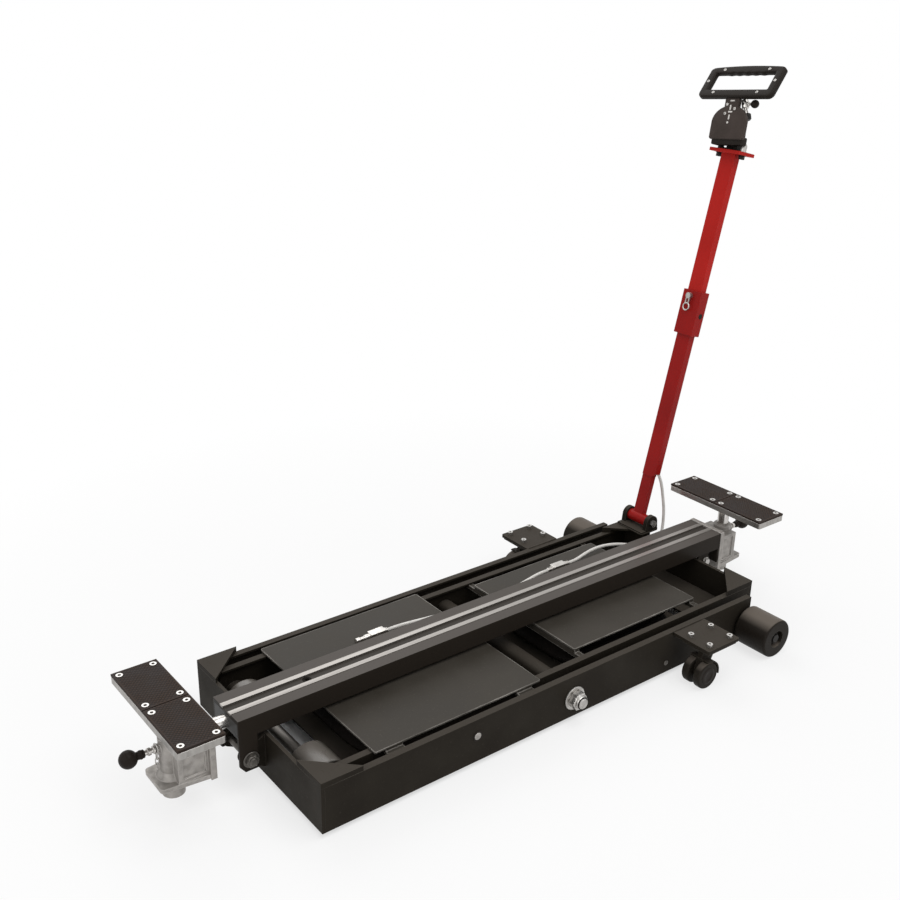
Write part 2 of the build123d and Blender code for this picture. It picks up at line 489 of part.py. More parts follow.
# Sliding arms, brackets, posts, saddles and their locking plungers
for end, sign in ENDS.items():
    post_x = sign * (FACE_X + POST_Q)

    def q(distance, s=sign):
        """X of a distance outwards from the bracket's face."""
        return s * (FACE_X + distance)

    with BuildPart() as arm:
        with BuildSketch(across(min(q(0), sign * ARM_INNER))):
            with Locations((0, ARM_Z)):
                Circle(ARM_D / 2)
        extrude(amount=FACE_X - ARM_INNER)
    finish(arm, f"{end}_arm")

    with BuildPart() as bracket:
        with BuildSketch(level(BASE_Z0)):
            with BuildLine():
                Polyline((q(0), -50), (q(BASE_END), -39), (q(BASE_END), 39), (q(0), 50), close=True)
            make_face()
        extrude(amount=BASE_Z1 - BASE_Z0)
        fillet(bracket.edges().filter_by(Axis.Z).sort_by(Axis.X, reverse=sign > 0)[:2], 8)
        box(q(0), q(BODY_END), -BODY_Y, BODY_Y, BASE_Z1, BODY_Z1)
        box(q(FACE_T + 4), q(POST_Q), -(BODY_Y - BODY_WALL), BODY_Y - BODY_WALL,
            BASE_Z0, BODY_Z1 - BODY_WALL, mode=Mode.SUBTRACT)
        for hand in (-1, 1):
            box(q(FACE_T + 6), q(BODY_END - 10), hand * (BODY_Y - 3), hand * BODY_Y,
                BASE_Z1 + 7, BODY_Z1 - 8, mode=Mode.SUBTRACT)
        box(q(0), q(FACE_T), -FACE_Y, FACE_Y, FACE_Z0, FACE_Z1)
        column(post_x, 0, BOSS_D, BOSS_Z0, BOSS_Z1)
        with Locations((post_x, 0, BASE_Z1)):
            Cone(BOSS_D / 2 + 8, BOSS_D / 2, 12, align=(Align.CENTER, Align.CENTER, Align.MIN))
        with BuildSketch(across(min(post_x, q(POST_Q + 28)))):
            with Locations((0, LOCK_Z)):
                Circle(9)
        extrude(amount=28)
        column(post_x, 0, POST_D + 2 * RUN, BOSS_Z0, BOSS_Z1, mode=Mode.SUBTRACT)
        with BuildSketch(across(min(post_x, q(POST_Q + 40)))):
            with Locations((0, LOCK_Z)):
                Circle(LOCK_D / 2 + RUN)
        extrude(amount=40, mode=Mode.SUBTRACT)
    finish(bracket, f"{end}_bracket")

    with BuildPart() as post:
        column(post_x, 0, POST_D, POST_Z0, PLATE_Z0)
        column(post_x, 0, POST_D / 2, PLATE_Z0, PLATE_Z0 + 6)
        box(q(POST_Q + 11), q(POST_Q + 15), -LOCK_D / 2 - 0.4, LOCK_D / 2 + 0.4,
            LOCK_Z - 78, LOCK_Z + 8, mode=Mode.SUBTRACT)
    finish(post, f"{end}_post")

    with BuildPart() as saddle_plate:
        with BuildSketch(level(PLATE_Z0)):
            with Locations((post_x, 0)):
                RectangleRounded(2 * SADDLE_X, 2 * SADDLE_Y, 5)
        extrude(amount=PLATE_Z1 - PLATE_Z0)
        column(post_x, 0, POST_D / 2 + 2 * RUN, PLATE_Z0, PLATE_Z0 + 6.4, mode=Mode.SUBTRACT)
    finish(saddle_plate, f"{end}_saddle_plate")

    with BuildPart() as saddle_pads:
        with BuildSketch(level(PLATE_Z1)):
            with Locations((post_x, 0)):
                with GridLocations(0, SADDLE_Y, 1, 2):
                    RectangleRounded(2 * SADDLE_X - 1, SADDLE_Y - 2, 5)
        extrude(amount=PAD_Z1 - PLATE_Z1)
    finish(saddle_pads, f"{end}_saddle_pads")

    with BuildPart() as plunger:
        with BuildSketch(Plane.XZ):
            with BuildLine():
                tip, neck, ball = POST_Q + 11.5, POST_Q + LOCK_LENGTH - 30, POST_Q + LOCK_LENGTH
                foot = ball - math.sqrt(BALL_R ** 2 - 8 ** 2)
                Polyline((q(ball + BALL_R), LOCK_Z), (q(tip), LOCK_Z), (q(tip), LOCK_Z + LOCK_D / 2),
                         (q(neck), LOCK_Z + LOCK_D / 2), (q(neck), LOCK_Z + 8), (q(foot), LOCK_Z + 8))
                RadiusArc((q(foot), LOCK_Z + 8), (q(ball + BALL_R), LOCK_Z), sign * BALL_R)
            make_face()
        revolve(axis=Axis((0, 0, LOCK_Z), (1, 0, 0)))
    finish(plunger, f"{end}_plunger")

# Tiller handle
LEAN_SIN, LEAN_COS = math.sin(math.radians(LEAN)), math.cos(math.radians(LEAN))


def tiller_point(u, v, w):
    """Point of the handle: u across its thin side, v along Y, w along the tube."""
    return (TILLER_X + u * LEAN_COS + w * LEAN_SIN, TILLER_Y + v, TILLER_Z - u * LEAN_SIN + w * LEAN_COS)


def tiller_level(w):
    """Plane square to the tube, drawn in u and v, that extrudes along the tube."""
    return Plane(tiller_point(0, 0, w), x_dir=(LEAN_COS, 0, -LEAN_SIN), z_dir=(LEAN_SIN, 0, LEAN_COS))


def tiller_face(u):
    """Plane along the tube's wide side, drawn in v and w, that extrudes across the tube."""
    return Plane(tiller_point(u, 0, 0), x_dir=(0, 1, 0), z_dir=(LEAN_COS, 0, -LEAN_SIN))


def tiller_bar(u0, u1, v0, v1, w0, w1, mode=Mode.ADD):
    """Block along the handle between two corners."""
    with BuildSketch(tiller_level(w0)) as outline:
        with Locations(((u0 + u1) / 2, (v0 + v1) / 2)):
            Rectangle(u1 - u0, v1 - v0)
    extrude(outline.sketch, amount=w1 - w0, mode=mode)


def tiller_round(u0, u1, v, w, diameter, mode=Mode.ADD):
    """Round bar across the handle's thin side."""
    with BuildSketch(tiller_face(u0)) as outline:
        with Locations((v, w)):
            Circle(diameter / 2)
    extrude(outline.sketch, amount=u1 - u0, mode=mode)


def tube_bore(w0, w1):
    """Hollow of the rectangular tube over one stretch."""
    tiller_bar(TUBE_T - TUBE_U, TUBE_U - TUBE_T, TUBE_V0 + TUBE_T, TUBE_V1 - TUBE_T, w0, w1, mode=Mode.SUBTRACT)


with BuildPart() as handle_lugs:
    box(600, 660, TILLER_Y - 44, TILLER_Y + 44, GUSSET_Z1, GUSSET_Z1 + 6)
    for sign in SIDES.values():
        y0, y1 = TILLER_Y + sign * 32, TILLER_Y + sign * (32 + LUG_T)
        with BuildSketch(upright(max(y0, y1))):
            with Locations((TILLER_X, TILLER_Z)):
                Circle(TILLER_LUG_R)
            with Locations((TILLER_X, GUSSET_Z1 + 3)):
                Rectangle(2 * TILLER_LUG_R + 4, 6)
            make_hull()
        extrude(amount=LUG_T)
    disc(TILLER_X, TILLER_Z, TILLER_BOLT_D, TILLER_Y - 60, TILLER_Y + 60, mode=Mode.SUBTRACT)
finish(handle_lugs, "handle_lugs")

with BuildPart() as handle_bolt:
    disc(TILLER_X, TILLER_Z, TILLER_BOLT_D, TILLER_Y - 46, TILLER_Y + 46)
    for sign in SIDES.values():
        hexagon(TILLER_X, TILLER_Z, TILLER_NUT_AF, TILLER_Y + sign * 44, TILLER_Y + sign * 52)
finish(handle_bolt, "handle_bolt")

with BuildPart() as handle_lower:
    disc(TILLER_X, TILLER_Z, 30, TILLER_Y - 31, TILLER_Y + 31)
    tiller_bar(-FOOT_U, FOOT_U, FOOT_V0, TUBE_V1, 0, TUBE_W0 + 30)
    tiller_bar(-TUBE_U, TUBE_U, TUBE_V0, TUBE_V1, TUBE_W0, JOINT_W)
    tiller_bar(-TUBE_U - SLEEVE_U, TUBE_U + SLEEVE_U, TUBE_V0 - SLEEVE_V, TUBE_V1 + SLEEVE_V, SLEEVE_W0, SLEEVE_W1)
    tiller_bar(-TUBE_U, TUBE_U, TUBE_V0, TUBE_V1, JOINT_W, SLEEVE_W1, mode=Mode.SUBTRACT)
    tube_bore(TUBE_W0 + 30, JOINT_W)
    tiller_bar(-FOOT_U, TUBE_U, TUBE_V0 + TUBE_T, FOOT_V0, TUBE_W0, TUBE_W0 + 30, mode=Mode.SUBTRACT)
    with BuildSketch(tiller_face(-TUBE_U)):
        with BuildLine():
            Polyline((TUBE_V0, TUBE_W0), (FOOT_V0, TUBE_W0), (TUBE_V0, TUBE_W0 + 10), close=True)
        make_face()
    extrude(amount=2 * TUBE_U, mode=Mode.SUBTRACT)
    disc(TILLER_X, TILLER_Z, TILLER_BOLT_D + 2 * RUN, TILLER_Y - 40, TILLER_Y + 40, mode=Mode.SUBTRACT)
    tiller_round(-20, 20, LOCK_PIN_V, LOCK_PIN_W, LOCK_PIN_D + 2 * RUN, mode=Mode.SUBTRACT)
finish(handle_lower, "handle_lower")

with BuildPart() as handle_upper:
    tiller_bar(-TUBE_U, TUBE_U, TUBE_V0, TUBE_V1, JOINT_W, FLANGE_W)
    tube_bore(JOINT_W, FLANGE_W)
    tiller_bar(-26, 34, -46, 46, FLANGE_W, FLANGE_W + FLANGE_T)
    tiller_round(-20, 20, LOCK_PIN_V, LOCK_PIN_W, LOCK_PIN_D + 2 * RUN, mode=Mode.SUBTRACT)
finish(handle_upper, "handle_upper")

with BuildPart() as locking_pin:
    tiller_round(-17, 18, LOCK_PIN_V, LOCK_PIN_W, LOCK_PIN_D)
    tiller_round(-25, -15.4, LOCK_PIN_V, LOCK_PIN_W, 15)
    for v in (LOCK_PIN_V - 6, LOCK_PIN_V + 3):
        tiller_bar(-24, -21, v, v + 3, LOCK_PIN_W - 22, LOCK_PIN_W)
    ring_plane = Plane(tiller_point(-22.5, LOCK_PIN_V, LOCK_PIN_W - 28), x_dir=(0, 1, 0),
                       z_dir=(LEAN_COS, 0, -LEAN_SIN))
    with Locations(ring_plane):
        Torus(9, 1.8)
finish(locking_pin, "locking_pin")

# Control head on the handle's flange, with the pin that the lever swings on
head_foot = FLANGE_W + FLANGE_T
with BuildPart() as control_head:
    tiller_bar(HUB_U0, HUB_U1, PIN_V - HUB_D / 2, PIN_V + HUB_D / 2, head_foot, PIN_W)
    tiller_round(HUB_U0, HUB_U1, PIN_V, PIN_W, HUB_D)
    tiller_round(COVER_U0 + 12, HUB_U0, PIN_V, PIN_W, PIN_D)
    tiller_round(HUB_U1, HUB_U1 + 10, PIN_V, PIN_W - 14, 18)
finish(control_head, "control_head")

# Control lever
SWING_SIN, SWING_COS = math.sin(math.radians(SWING)), math.cos(math.radians(SWING))
TILT_SIN, TILT_COS = math.sin(math.radians(GRIP_TILT)), math.cos(math.radians(GRIP_TILT))
LEVER_U = Vector(LEAN_COS, 0, -LEAN_SIN)
LEVER_A = Vector(-SWING_SIN * LEAN_SIN, SWING_COS, -SWING_SIN * LEAN_COS)
LEVER_B = Vector(SWING_COS * LEAN_SIN, SWING_SIN, SWING_COS * LEAN_COS)


def lever_point(u, a, b):
    """Point of the lever: u across its face, a along it and b up it, from the pin."""
    return Vector(*tiller_point(u, PIN_V, PIN_W)) + LEVER_A * a + LEVER_B * b


def lever_face(u):
    """Plane along the lever's face, drawn in a and b, that extrudes towards the handle's back."""
    return Plane(lever_point(u, 0, 0), x_dir=LEVER_A, z_dir=LEVER_U)


def lever_bar(u, a, b, along, diameter, length, mode=Mode.ADD):
    """Round bar that starts at one point of the lever and runs along one direction."""
    with BuildSketch(Plane(lever_point(u, a, b), z_dir=along)) as outline:
        Circle(diameter / 2)
    extrude(outline.sketch, amount=length, mode=mode)


with BuildPart() as control_grip:
    grip_out = LEVER_U * TILT_COS - LEVER_B * TILT_SIN
    grip_up = LEVER_B * TILT_COS + LEVER_U * TILT_SIN
    bar_middle = lever_point(GRIP_U, GRIP_A, GRIP_B)
    loop_middle = bar_middle + grip_up * (GRIP_HEIGHT - GRIP_BAR) / 2
    with BuildSketch(Plane(loop_middle - grip_out * GRIP_T / 2, x_dir=LEVER_A, z_dir=grip_out)):
        RectangleRounded(GRIP_WIDTH, GRIP_HEIGHT, 16)
        RectangleRounded(GRIP_WIDTH - 2 * GRIP_BAR, GRIP_HEIGHT - 2 * GRIP_BAR, 5, mode=Mode.SUBTRACT)
    extrude(amount=GRIP_T)
    grip_axis = Axis(loop_middle, grip_out)
    fillet(control_grip.faces().filter_by(grip_axis).sort_by(grip_axis)[-1].edges(), 6)
    fillet(control_grip.faces().filter_by(grip_axis).sort_by(grip_axis)[0].edges(), 6)
    with BuildSketch(lever_face(COVER_U0)):
        with Locations((0, COVER_B0)):
            Rectangle(2 * COVER_A, COVER_B1 - COVER_B0, align=(Align.CENTER, Align.MIN))
        with Locations((0, COVER_B1)):
            Ellipse(COVER_A, COVER_RISE)
        with Locations((0, COVER_B0)):
            Rectangle(4 * COVER_A, COVER_A, align=(Align.CENTER, Align.MAX), mode=Mode.SUBTRACT)
    extrude(amount=COVER_U1 - COVER_U0)
    with BuildSketch(lever_face(COVER_U0 + 4)):
        with Locations((0, BAND_B0)):
            Rectangle(2 * BAND_A, COVER_B0 - BAND_B0, align=(Align.CENTER, Align.MIN))
    extrude(amount=COVER_U1 - COVER_U0 - 8)
    with BuildSketch(lever_face(NECK_U0)):
        with Locations((GRIP_A, 0)):
            Rectangle(2 * NECK_A, GRIP_B, align=(Align.CENTER, Align.MIN))
    extrude(amount=NECK_U1 - NECK_U0)
    lever_bar(COVER_U0 + 12 - 0.4, 0, 0, LEVER_U, PIN_D + 2 * RUN, 40, mode=Mode.SUBTRACT)
finish(control_grip, "control_grip")

VALVE_UP = LEVER_B * math.cos(math.radians(VALVE_TILT)) + LEVER_A * math.sin(math.radians(VALVE_TILT))
STEM_A = VALVE_A + (KNOB_B - VALVE_B) * math.tan(math.radians(VALVE_TILT))
with BuildPart() as air_valve:
    lever_bar(VALVE_U, VALVE_A, VALVE_B, VALVE_UP, 16, VALVE_LENGTH)
    lever_bar(VALVE_U, STEM_A, KNOB_B, -LEVER_A, 8, STEM_A - KNOB_A - 2)
    with BuildSketch(lever_face(COVER_U0)):
        with Locations((0, COVER_B1)):
            Ellipse(COVER_A, COVER_RISE)
    extrude(amount=COVER_U1 - COVER_U0, mode=Mode.SUBTRACT)
finish(air_valve, "air_valve")

with BuildPart() as valve_knob:
    with Locations(Location(lever_point(VALVE_U, KNOB_A, KNOB_B))):
        Sphere(KNOB_R)
    lever_bar(VALVE_U, KNOB_A, KNOB_B, LEVER_A, 13, 13)
    lever_bar(VALVE_U, KNOB_A + 2, KNOB_B, LEVER_A, 8 + 2 * RUN, 30, mode=Mode.SUBTRACT)
finish(valve_knob, "valve_knob")


# Air fittings and hoses
def fitting(x_left, x_block, x_right):
    """Inline hose fitting that stands on a panel: a block with a barb at each end."""
    box(x_block - 20, x_block + 20, FITTING_Y - 10, FITTING_Y + 10, PANEL_Z1, FITTING_Z + 8)
    with BuildSketch(across(x_left)) as outline:
        with Locations((FITTING_Y, FITTING_Z)):
            Circle(HOSE_D / 2 + 1)
    extrude(outline.sketch, amount=x_right - x_left)


with BuildPart() as left_fitting:
    fitting(-290, -235, -208)
finish(left_fitting, "left_fitting")

with BuildPart() as right_fittings:
    fitting(268, 304, 337)
    box(INNER_X1, INLET_X + 10, INLET_Y - 10, INLET_Y + 10, INLET_Z - 30, INLET_Z - 10)
    column(INLET_X, INLET_Y, HOSE_D + 2, INLET_Z - 10, INLET_Z)
    with BuildSketch(across(INNER_X1 - END_PLATE - 10)):
        with Locations((98, 100)):
            Circle(HOSE_D / 2 + 2)
    extrude(amount=10)
finish(right_fittings, "right_fittings")

HOSE_ROUTES = {
    "handle_hose": (
        tiller_point(4, -16.5, TUBE_W0 + 16), (683, 145, 256), (691, 143, 228), (698, 142, 196), (702, 139, 164),
        (699, 134.5, 132), (690, 128, 110), (INLET_X, INLET_Y, 88), (INLET_X, INLET_Y, INLET_Z),
    ),
    "right_hose": (
        (337, FITTING_Y, FITTING_Z), (364, FITTING_Y, FITTING_Z), (396, 125, 125), (436, 131, 127),
        (474, 129, 127), (510, 120, 124), (546, 109, 116), (578, 100, 106), (602, 98, 100),
        (INNER_X1 - END_PLATE - 10, 98, 100),
    ),
    "left_hose": (
        (268, FITTING_Y, FITTING_Z), (238, FITTING_Y, FITTING_Z), (200, 108, 124), (156, 98, 125),
        (106, 92, 125), (54, 89, 124), (2, 89, 124), (-48, 93, 125), (-94, 101, 125),
        (-138, 110, 124), (-176, FITTING_Y, FITTING_Z), (-208, FITTING_Y, FITTING_Z),
    ),
}

for name, route in HOSE_ROUTES.items():
    points = [Vector(*p) for p in route]
    runs = [b - a for a, b in zip(points, points[1:])]
    radii = []
    for a, b in zip(runs, runs[1:]):
        turn = math.radians(a.get_angle(b))
        radii.append(0.45 * min(a.length, b.length) / math.tan(turn / 2))
    with BuildPart() as hose:
        with BuildLine() as path:
            FilletPolyline(*points, radius=radii)
        centre = path.wire()
        with BuildSketch(Plane(centre @ 0, z_dir=centre % 0)):
            Circle(HOSE_D / 2)
        sweep()
    full = centre.length * math.pi * HOSE_D ** 2 / 4
    print(f"{name}: length {centre.length:.1f}, least radius {min(radii):.1f}, "
          f"volume share {hose.part.volume / full:.4f}")
    finish(hose, name)
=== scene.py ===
"""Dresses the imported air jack: finishes, hoses, treads, fasteners, control lever, air bags and stage."""

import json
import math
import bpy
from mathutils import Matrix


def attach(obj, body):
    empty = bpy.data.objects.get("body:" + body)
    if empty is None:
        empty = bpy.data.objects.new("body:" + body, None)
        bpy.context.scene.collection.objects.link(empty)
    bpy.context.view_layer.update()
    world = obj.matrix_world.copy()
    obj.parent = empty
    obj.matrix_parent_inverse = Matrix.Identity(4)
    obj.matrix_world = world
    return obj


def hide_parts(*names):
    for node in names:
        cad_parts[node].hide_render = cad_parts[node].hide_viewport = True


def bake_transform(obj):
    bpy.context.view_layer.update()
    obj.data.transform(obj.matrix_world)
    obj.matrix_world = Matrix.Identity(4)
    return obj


bl_info = {
    "name": "Air scissor jack",
    "version": (1, 0, 0),
    "blender": (4, 5, 0),
    "location": "3D View > Sidebar > Jack",
    "description": "Builds the looks of an air scissor jack around its packed solids",
    "category": "Object",
}

import bmesh
import bpy
import numpy as np
from mathutils import Matrix, Vector

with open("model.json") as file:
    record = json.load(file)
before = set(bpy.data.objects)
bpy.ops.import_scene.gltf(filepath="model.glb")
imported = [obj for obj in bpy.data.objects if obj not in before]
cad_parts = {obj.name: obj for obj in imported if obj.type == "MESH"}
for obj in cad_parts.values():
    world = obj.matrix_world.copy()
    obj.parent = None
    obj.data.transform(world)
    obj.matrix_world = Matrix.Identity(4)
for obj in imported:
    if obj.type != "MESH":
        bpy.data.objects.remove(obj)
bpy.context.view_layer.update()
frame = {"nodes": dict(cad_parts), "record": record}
MM = 0.001
TURN = 2 * math.pi
X, Y, Z = np.eye(3)
ENDS = {"left": -1, "right": 1}
SIDES = {"near": -1, "far": 1}

# Sizes and places below are millimetres of the drawing, whose x is MIDDLE_X more than the model's
MIDDLE_X = 14.2

# Saddles and their locking plungers
SADDLE_X, PAD_WIDTH, PAD_DEPTH, PAD_STEP = 776.0, 92.0, 146.0, 74.0
PLATE_TOP, PAD_TOP = 224.0, 229.0
PAD_SCREW_X, PAD_SCREW_Y = 34.0, 60.0
LOCK_Z, KNOB_REACH, KNOB_R, CHAIN_REACH = 138.0, 81.0, 17.5, 27.0

# Frames and beam, with the x and z of what sits on their sides
PIVOT, BEAM_PIN, SLIDE_BOLT = (20.0, 58.0), (-638.0, 72.0), (668.0, 97.0)
RAIL_Y, RAIL_TOP = 250.0, 112.0
STOP_PIN, RAIL_PLUG = (-242.0, 73.0), (305.0, 37.0)
STUD_R, STUD_SEAT, LOCK_NUT_FLATS = 12.0, 250.0, 36.0
BEAM_HALF, BEAM_HOLE, BEAM_HOLE_R = 51.0, (-481.0, 0.0, 163.0), 4.5
BEAM_CLOSURE = (703.5, 0.0, 104.5)
CASTOR_Y, CASTOR_HUB = 313.0, (347.0, 32.0)
BRACKET_WELD = (322.0, 420.0)
LUG_WELD_X, LUG_WELD_Y, LUG_WELD_Z = (600.0, 660.0), (119.0, 207.0), 124.6

# Air: fittings on the panels, inlet below the handle, outlet at the end plate, roof over the bags
FITTING_Y, FITTING_Z, PANEL_TOP = 117.0, 123.5, 115.5
INLET, OUTLET = (676.0, 121.5, 64.0), (622.0, 98.0, 100.0)
BAG_TOP = 111.1

# Handle and lever: foot and lean of the tube, its flange, pin and swing of the lever, tilt of its loop
TILLER, LEAN = (637.0, 163.0, 148.0), math.radians(12.8)
FLANGE_LOW, FLANGE_TOP, FLANGE_BOLTS = 954.0, 962.0, (-36.0, 34.0)
SLEEVE_HOLE = (2.0, -31.0, 552.0)
PIN_V, PIN_W, SWING, GRIP_TILT = -5.0, 1000.0, math.radians(4.7), math.radians(28.1)
LOOP_FOOT, LOOP_RISE, LOOP_DEPTH = (-36.0, -4.0, 90.0), 34.0, 15.0
VALVE_U, VALVE_LEAN = -19.0, math.radians(20)

# Stage in metres: half the floor's side, the reach of the object's shadow, half of what the frames cover
FLOOR_REACH, SHADOW, COVERED = 12.0, (0.7, 1.7), (0.56, 0.19, 0.0)
LAMPS = (
    # Name, place, width and watts
    ("key", (0.3, -1.3, 3.5), 2.6, 55),
    ("fill", (-3.0, -0.6, 1.8), 2.0, 16),
    ("rim", (0.6, 3.0, 3.0), 3.0, 40),
    ("front", (0.3, -3.4, 0.8), 2.0, 6),
)
LAMP_TARGET = Vector((0, 0, 0.2))

# Camera of the photograph: place in the drawing, directions in degrees, lens in millimetres
CAMERA_PLACE = (-1442.98, -1696.78, 1451.06)
AZIMUTH, ELEVATION, ROLL = -37.71, 22.2, 1.06
LENS, SENSOR = 45.61, 36.0


def hex_to_linear(text):
    """Linear colour of an sRGB hex value: its low end is divided by 12.92, the rest is a 2.4 power curve."""
    values = np.array([int(text[i:i + 2], 16) for i in (1, 3, 5)]) / 255
    linear = np.where(values <= 0.04045, values / 12.92, ((values + 0.055) / 1.055) ** 2.4)
    return (*(float(v) for v in linear), 1.0)


def at(x, y, z):
    """Point of the drawing, in the model's metres."""
    return np.array([x - MIDDLE_X, y, z]) * MM


# Directions of the handle, whose tube leans along +X, and of the lever, which stands a little to one side
TUBE_U = math.cos(LEAN) * X - math.sin(LEAN) * Z
TUBE_W = math.sin(LEAN) * X + math.cos(LEAN) * Z
LEVER_A = math.cos(SWING) * Y - math.sin(SWING) * TUBE_W
LEVER_B = math.sin(SWING) * Y + math.cos(SWING) * TUBE_W
GRIP_UP = math.cos(GRIP_TILT) * LEVER_B + math.sin(GRIP_TILT) * TUBE_U
GRIP_BACK = math.cos(GRIP_TILT) * TUBE_U - math.sin(GRIP_TILT) * LEVER_B
VALVE_UP = math.cos(VALVE_LEAN) * LEVER_B + math.sin(VALVE_LEAN) * LEVER_A


def tiller(u, v, w):
    """Point of the handle: u across its thin side, v along Y, w along the tube."""
    return at(*TILLER) + (TUBE_U * u + Y * v + TUBE_W * w) * MM


def lever(u, a, b):
    """Point of the lever: u across its face, a along it and b up it, from its pin."""
    return tiller(u, PIN_V, PIN_W) + (LEVER_A * a + LEVER_B * b) * MM


# Surfaces
def grid(points, wrap_u=False, wrap_v=False):
    """Quads over an array of points, closed round in a direction that wraps. Gives vertices and faces."""
    nu, nv = points.shape[:2]
    index = np.arange(nu * nv).reshape(nu, nv)
    if wrap_u:
        index = np.vstack([index, index[:1]])
    if wrap_v:
        index = np.hstack([index, index[:, :1]])
    quads = np.stack([index[:-1, :-1], index[1:, :-1], index[1:, 1:], index[:-1, 1:]], axis=-1)
    return points.reshape(-1, 3), quads.reshape(-1, 4).tolist()


def rings(radius, height, turn):
    """Surface about Z: a ring at each height, whose radius is one value or one for each angle of the turn."""
    level = np.repeat(height[:, None], len(turn), axis=1)
    return grid(np.stack([radius * np.cos(turn), radius * np.sin(turn), level], axis=-1) * MM, wrap_v=True)


def lathe(profile, steps=40):
    """Surface of revolution about Z: each radius and height of the profile becomes a ring."""
    radius, height = np.array(profile, float).T
    return rings(radius[:, None], height, np.linspace(0, TURN, steps, endpoint=False))


def disc(radius, low, high, edge=0.6, bore=0.0, steps=40):
    """Round plate about Z with chamfered rims, open in the middle where it has a bore."""
    return lathe([(bore, low), (radius - edge, low), (radius, low + edge), (radius, high - edge),
                  (radius - edge, high), (bore, high), (bore, low)], steps)


def dome(radius, rise, height, start, steps):
    """Profile of a round end: an ellipse about a height, from an angle at its side to its top on the axis."""
    angle = np.linspace(start, TURN / 4, steps)[:-1]
    side = np.stack([radius * np.cos(angle), height + rise * np.sin(angle)], axis=-1)
    return side.tolist() + [(0, height + rise)]


def hexagon(flats, low, high):
    """Hexagon bar about Z with turned corners: its radius is the lesser of the hexagon's and of a cone's."""
    turn = np.linspace(0, TURN, 72, endpoint=False)
    side = flats / 2 / np.cos(turn % (TURN / 6) - TURN / 12)
    corner, inner = flats / math.sqrt(3), 0.96 * flats / 2
    slope = 0.6 * (corner - inner)
    limit = np.array([0, inner, corner, corner, inner, 0])
    level = np.array([low, low, low + slope, high - slope, high, high])
    return rings(np.minimum(side, limit[:, None]), level, turn)


def rounded_path(half_w, half_h, corner, wide=60, tall=20, arc=10):
    """Rounded rectangle, a run and an arc for each side. Gives its points and their outward directions."""
    centres = np.array([(1, -1), (1, 1), (-1, 1), (-1, -1)]) * (half_w - corner, half_h - corner)
    points, outward = [], []
    for k, count in enumerate((wide, tall, wide, tall)):
        out = np.array([math.sin(k * TURN / 4), -math.cos(k * TURN / 4)])
        share = np.linspace(0, 1, count, endpoint=False)[:, None]
        run = centres[k - 1] + (centres[k] - centres[k - 1]) * share + out * corner
        bend = k * TURN / 4 + np.linspace(0, TURN / 4, arc, endpoint=False)
        turned = np.stack([np.sin(bend), -np.cos(bend)], axis=-1)
        points += [run, centres[k] + turned * corner]
        outward += [np.repeat(out[None], count, axis=0), turned]
    return np.concatenate(points), np.concatenate(outward)


def section(half_r, half_t, power=2.0, steps=20):
    """Superellipse round a bar, as its offsets along the path's outward direction and along Z."""
    turn = np.linspace(0, TURN, steps, endpoint=False)
    radial = half_r * np.sign(np.cos(turn)) * np.abs(np.cos(turn)) ** (2 / power)
    axial = half_t * np.sign(np.sin(turn)) * np.abs(np.sin(turn)) ** (2 / power)
    return radial, axial


def closed_bar(flat, axial):
    """Bar that closes on itself: flat has each section's points in the plane, axial their heights along Z."""
    height = np.broadcast_to(axial, flat.shape[:2])
    return grid(np.concatenate([flat, height[..., None]], axis=-1) * MM, wrap_u=True, wrap_v=True)


def carried(path, radial, axial):
    """Section carried round a flat path: each point goes outwards by radial and along Z by axial."""
    points, outward = path
    offset = np.broadcast_to(radial, (len(points), len(axial)))
    return closed_bar(points[:, None] + outward[:, None] * offset[..., None], axial)


def ring(radius, wire):
    """Round wire bent to a ring about Z."""
    return carried(rounded_path(radius, radius, radius, 1, 1, 12), *section(wire, wire, steps=10))


def slab(outline, depth, edge):
    """Plate of a closed outline from Z = 0 to depth: flat faces, rims rolled over a quarter circle."""
    along = np.roll(outline, -1, axis=0) - np.roll(outline, 1, axis=0)
    along /= np.linalg.norm(along, axis=1, keepdims=True)
    inward = np.stack([-along[:, 1], along[:, 0]], axis=-1)
    roll = np.linspace(0, TURN / 4, 6)
    inset = np.concatenate([edge * (1 - np.sin(roll)), edge * (1 - np.sin(roll[::-1]))])
    level = np.concatenate([edge * (1 - np.cos(roll)), depth - edge * (1 - np.cos(roll[::-1]))])
    rims = outline + inward * inset[:, None, None]
    middle = np.broadcast_to(outline.mean(axis=0), (1, *outline.shape))
    flat = np.concatenate([middle, rims, middle])
    height = np.concatenate([[0.0], level, [depth]])[:, None, None]
    height = np.broadcast_to(height, (*flat.shape[:2], 1))
    return grid(np.concatenate([flat, height], axis=-1) * MM, wrap_v=True)


def plate(half_w, half_h, corner, depth, edge, wide=4, tall=4, arc=6):
    """Rounded rectangle as a slab, with the given number of points on its runs and arcs."""
    return slab(rounded_path(half_w, half_h, corner, wide, tall, arc)[0], depth, edge)


def tube(points, width, steps=16):
    """Round bar along a line in metres: a ring square to the line at each point, closed at both ends.

    width is one value or one for each point.
    """
    never_along = (0.02, 1, 0.03)
    along = np.gradient(points, axis=0)
    along /= np.linalg.norm(along, axis=1, keepdims=True)
    side = np.cross(along, never_along)
    side /= np.linalg.norm(side, axis=1, keepdims=True)
    other = np.cross(along, side)
    turn = np.linspace(0, TURN, steps, endpoint=False)[:, None]
    spoke = side[:, None] * np.cos(turn) + other[:, None] * np.sin(turn)
    hoops = points[:, None] + spoke * (np.broadcast_to(width, len(points)) / 2)[:, None, None]
    first = np.repeat(points[:1, None], steps, axis=1)
    last = np.repeat(points[-1:, None], steps, axis=1)
    return grid(np.concatenate([first, hoops, last]), wrap_v=True)


